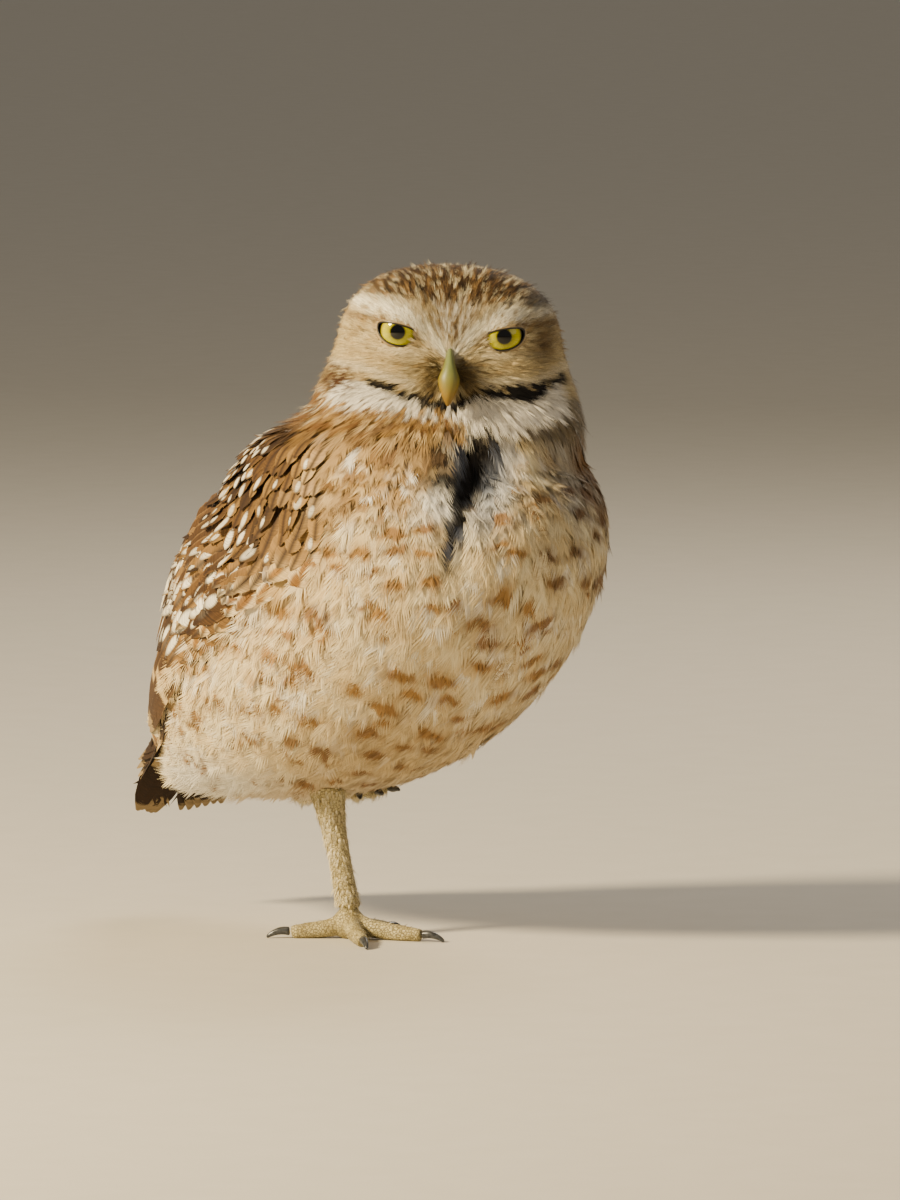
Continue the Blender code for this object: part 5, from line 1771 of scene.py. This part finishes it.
def smooth_copy(name, nodes, material, slot, levels):
    """A finer copy of small hard nodes, with their facets rounded off."""
    thing = joined_nodes(name, nodes)
    shape = bmesh.new()
    shape.from_mesh(thing.data)
    bmesh.ops.dissolve_limit(shape, angle_limit=math.radians(1), verts=shape.verts, edges=shape.edges)
    shape.to_mesh(thing.data)
    shape.free()
    soft = thing.modifiers.new("Rounded", "SUBSURF")
    soft.levels = levels
    soft.render_levels = levels
    apply_modifiers(thing)
    shade(thing, material)
    attach(thing, slot, *nodes)


def make_legs(skin_material, down_material):
    """Each leg's skin as one piece over its nodes, and the short feathers on it."""
    for name, nodes, seed in (("leg_right", STANDING_NODES, 81), ("leg_left", TUCKED_NODES, 82)):
        leg = joined_nodes(name, nodes)
        remesh(leg, LEG_GRAIN, 6)
        points, normals, faces = mesh_arrays(leg.data)
        points[:, 2] = np.maximum(points[:, 2], SOLE_GAP)
        move_points(leg, points)
        add_bake_map(leg.data, unwrap_leg(points))
        shade(leg, skin_material)
        attach(leg, "leg", *nodes)
        guide = Guide(points, normals, faces)
        down = Coat(name.replace("leg", "leg_feathers"), [tuft(90 + i, 3, 1.0, 0.3) for i in range(4)], seed)
        lay_leg(guide, down, seed)
        attach(down.build(down_material, unwrap_leg), "leg")


def leg_spacing(points):
    """Dense short feathers on the shank, few on the toes, none under the sole."""
    z = points[:, 2]
    dense = np.interp(z, (0.0, 0.003, 0.008, 0.012, 0.06), (0, 0.0016, 0.0013, 0.00085, 0.00085))
    return np.where(z < 0.002, 0, dense) * SPARSE


def lay_leg(guide, coat, seed):
    """Hair-like feathers: down the shank, and out over the toes."""
    roots, normals = guide.scatter(leg_spacing, seed, LEG_TRIES)
    draw = np.random.default_rng(seed)
    count = len(roots)
    shank = smooth(roots[:, 2], 0.008, 0.014)
    length = (0.0016 + 0.0014 * shank) * draw.uniform(0.7, 1.3, count)
    lie = mix(unit(roots * (1, 1, 0)), np.array((0.0, 0.0, -1.0)), shank[:, None])
    lie = unit(lie - normals * (lie * normals).sum(axis=1)[:, None])
    lie = unit(lie + draw.normal(0, 0.15, (count, 3)))
    tips = draw.uniform(0.0002, 0.0009, count)
    rises = np.stack([np.full(count, -0.0002), np.full(count, 0.0002), tips], axis=1)
    lines = roots[:, None] + lie[:, None] * (length[:, None] * np.array((0.0, 0.5, 1.0)))[..., None]
    lines = lines + normals[:, None] * rises[..., None]
    lines[..., 2] = np.maximum(lines[..., 2], 0.0006)
    outs = np.repeat(normals[:, None], 3, axis=1)
    ground = paint(plain("CBBB8C", count), ("EADFC0", draw.random(count) * 0.8))
    rolls = draw.normal(0, 0.2, count)
    coat.add(lines, outs, 0.00028 + 0.00016 * shank, rolls, 0.0, ground, np.zeros((count, 4)))


def bristle_tree():
    """A Geometry Nodes tree: a bent, tapered bristle on each point, along the point's own heading."""
    tree = bpy.data.node_groups.new("bristles", "GeometryNodeTree")
    for name, kind in (
        ("Geometry", "Geometry"), ("Length", "Float"), ("Thickness", "Float"), ("Variation", "Float"),
        ("Material", "Material"),
    ):
        tree.interface.new_socket(name, in_out="INPUT", socket_type="NodeSocket" + kind)
    tree.interface.new_socket("Geometry", in_out="OUTPUT", socket_type="NodeSocketGeometry")
    add = partial(add_node, tree)
    given = add("NodeGroupInput", output=None)
    bow = {"Resolution": 5, "Start": (0, 0, 0), "Middle": (0.06, 0, 0.5), "End": (-0.12, 0, 1.0)}
    bow = add("GeometryNodeCurveQuadraticBezier", bow)
    thin = add("MapRange", {"Value": add("GeometryNodeSplineParameter"), "To Min": 1.0, "To Max": 0.12})
    radius = add("Math", {0: thin, 1: given["Thickness"]}, operation="MULTIPLY")
    circle = add("GeometryNodeCurvePrimitiveCircle", {"Resolution": 4, "Radius": 1.0})
    swept = {"Curve": bow, "Profile Curve": circle, "Scale": radius, "Fill Caps": True}
    swept = add("GeometryNodeCurveToMesh", swept)
    named = {"Name": "heading"}
    heading = add("GeometryNodeInputNamedAttribute", named, "Attribute", data_type="FLOAT_VECTOR")
    turn = add("FunctionNodeAlignRotationToVector", {"Vector": heading}, axis="Z")
    low = add("Math", {0: 1.0, 1: given["Variation"]}, operation="SUBTRACT")
    high = add("Math", {0: 1.0, 1: given["Variation"]}, operation="ADD")
    part = add("FunctionNodeRandomValue", {2: low, 3: high, "Seed": 7}, 1, data_type="FLOAT")
    size = add("Math", {0: part, 1: given["Length"]}, operation="MULTIPLY")
    placed_ones = {"Points": given["Geometry"], "Instance": swept, "Rotation": turn, "Scale": size}
    real = add("GeometryNodeRealizeInstances", {"Geometry": add("GeometryNodeInstanceOnPoints", placed_ones)})
    dressed = add("GeometryNodeSetMaterial", {"Geometry": real, "Material": given["Material"]})
    add("NodeGroupOutput", {"Geometry": dressed}, None)
    return tree


def make_bristles(guide, material):
    """Stiff bristles that spread from the bill's base over the lores and the chin."""
    draw = random.Random(33)
    roots, headings = [], []
    for i in range(BRISTLE_COUNT):
        side = -1 if i % 2 else 1
        turn = math.radians(draw.uniform(-60, 66))
        reach = draw.uniform(0.0002, 0.0068)
        x = side * (0.0016 + reach * 0.75 * math.cos(turn))
        z = 0.1800 + reach * 0.9 * math.sin(turn)
        roots.append((x, -0.0330, z))
        spread = math.radians(draw.uniform(-16, 16)) + turn
        headings.append((side * (0.40 + 0.55 * math.cos(spread)), -0.22, -0.18 + 0.85 * math.sin(spread)))
    roots, outs = guide.nearest(placed(roots, HEAD))
    headings = unit(np.array(headings)) @ HEAD[:3, :3].T
    mesh = bpy.data.meshes.new("bill_bristles")
    mesh.from_pydata([tuple(root) for root in roots - outs * 0.0006], [], [])
    add_attribute(mesh, "heading", "FLOAT_VECTOR", unit(headings + outs * 0.18))
    piece = add_object("bill_bristles", mesh)
    modifier = piece.modifiers.new("Bristles", "NODES")
    modifier.node_group = bristle_tree()
    values = {"Length": 0.0062, "Thickness": 0.0062, "Variation": 0.45, "Material": material}
    for item in modifier.node_group.interface.items_tree:
        if item.in_out == "INPUT" and item.name in values:
            modifier[item.identifier] = values[item.name]
    apply_modifiers(piece)
    face_outwards(piece)
    shade(piece, material)
    attach(piece, "head_plumage")


# Camera, floor and light

def view_axes():
    """The view's right, the direction towards the camera, and the view's up."""
    right = Vector((math.cos(VIEW_TURN), math.sin(VIEW_TURN), 0))
    level = math.cos(VIEW_RISE)
    toward = Vector((math.sin(VIEW_TURN) * level, -math.cos(VIEW_TURN) * level, math.sin(VIEW_RISE)))
    return right, toward, toward.cross(right)


def make_camera():
    right, toward, up = view_axes()
    across = (IMAGE_SIZE[0] / 2 - FOOT_PIXEL[0]) * PIXEL
    height = (FOOT_PIXEL[1] - IMAGE_SIZE[1] / 2) * PIXEL
    target = right * across + up * height
    camera = add_object("camera", bpy.data.cameras.new("camera"))
    camera.data.sensor_fit = "VERTICAL"
    camera.data.sensor_height = SENSOR
    camera.data.lens = SENSOR * VIEW_DISTANCE / (IMAGE_SIZE[1] * PIXEL)
    camera.data.clip_end = 100
    turn = Matrix((right, up, toward)).transposed()
    camera.matrix_world = Matrix.Translation(target + toward * VIEW_DISTANCE) @ turn.to_4x4()
    bpy.context.scene.camera = camera


def make_light(name, away, distance, size, energy, hex_colour):
    """A round soft lamp, aimed at the middle of the owl."""
    light = bpy.data.lights.new(name, "AREA")
    light.shape = "DISK"
    light.size = size
    light.energy = energy
    light.color = colour(hex_colour)[:3]
    away = away.normalized()
    turn = away.to_track_quat("Z", "Y").to_matrix().to_4x4()
    add_object(name, light).matrix_world = Matrix.Translation(LAMP_AIM + away * distance) @ turn


def make_stage():
    """A wide pale floor and soft lamps: a warm key from the left, a cool fill and a rim from behind."""
    right, toward, up = view_axes()
    make_light("key", toward * 0.66 - right * 1.02 + up * 0.66, 1.5, 0.30, 64.0, "FCE6B8")
    make_light("fill", toward * 0.6 + right * 1.1 + up * 0.45, 1.8, 1.0, 2.6, "F4F0F0")
    make_light("rim", -toward * 0.8 + right * 0.35 + up * 0.9, 1.6, 0.8, 12.0, "FFF2DE")
    floor = mesh_object("floor", [(-9, -9, 0), (9, -9, 0), (9, 9, 0), (-9, 9, 0)], [(0, 1, 2, 3)])
    material, add, shader = new_material("pale_studio_floor", 0.9)
    finish(shader, mottle(add, 60.0, ((0.0, "C8C2B6"), (1.0, "CFC9BE")))[0])
    shade(floor, material, False)
    world = bpy.data.worlds.new("studio")
    world.use_nodes = True
    sky = world.node_tree.nodes["Background"].inputs
    sky["Color"].default_value = colour("DDD6CA")
    sky["Strength"].default_value = 0.34
    bpy.context.scene.world = world


def main():
    make_camera()
    make_stage()
    feathers = make_feather_materials()
    surface_copy, guide = make_guide()
    make_skin(surface_copy, make_skin_material())
    make_coat(guide, feathers)
    make_eyes(make_eye_material())
    make_lids(make_lid_material())
    make_bill(make_bill_material())
    make_bristles(guide, make_bristle_material())
    make_legs(make_leg_material(), make_leg_feather_material())
    claws = make_claw_material()
    for side in ("right", "left"):
        nodes = [f"claw_{side}_{toe}" for toe in ("inner", "middle", "outer", "hind")]
        smooth_copy(f"claws_{side}", nodes, claws, "claw", 2)


main()
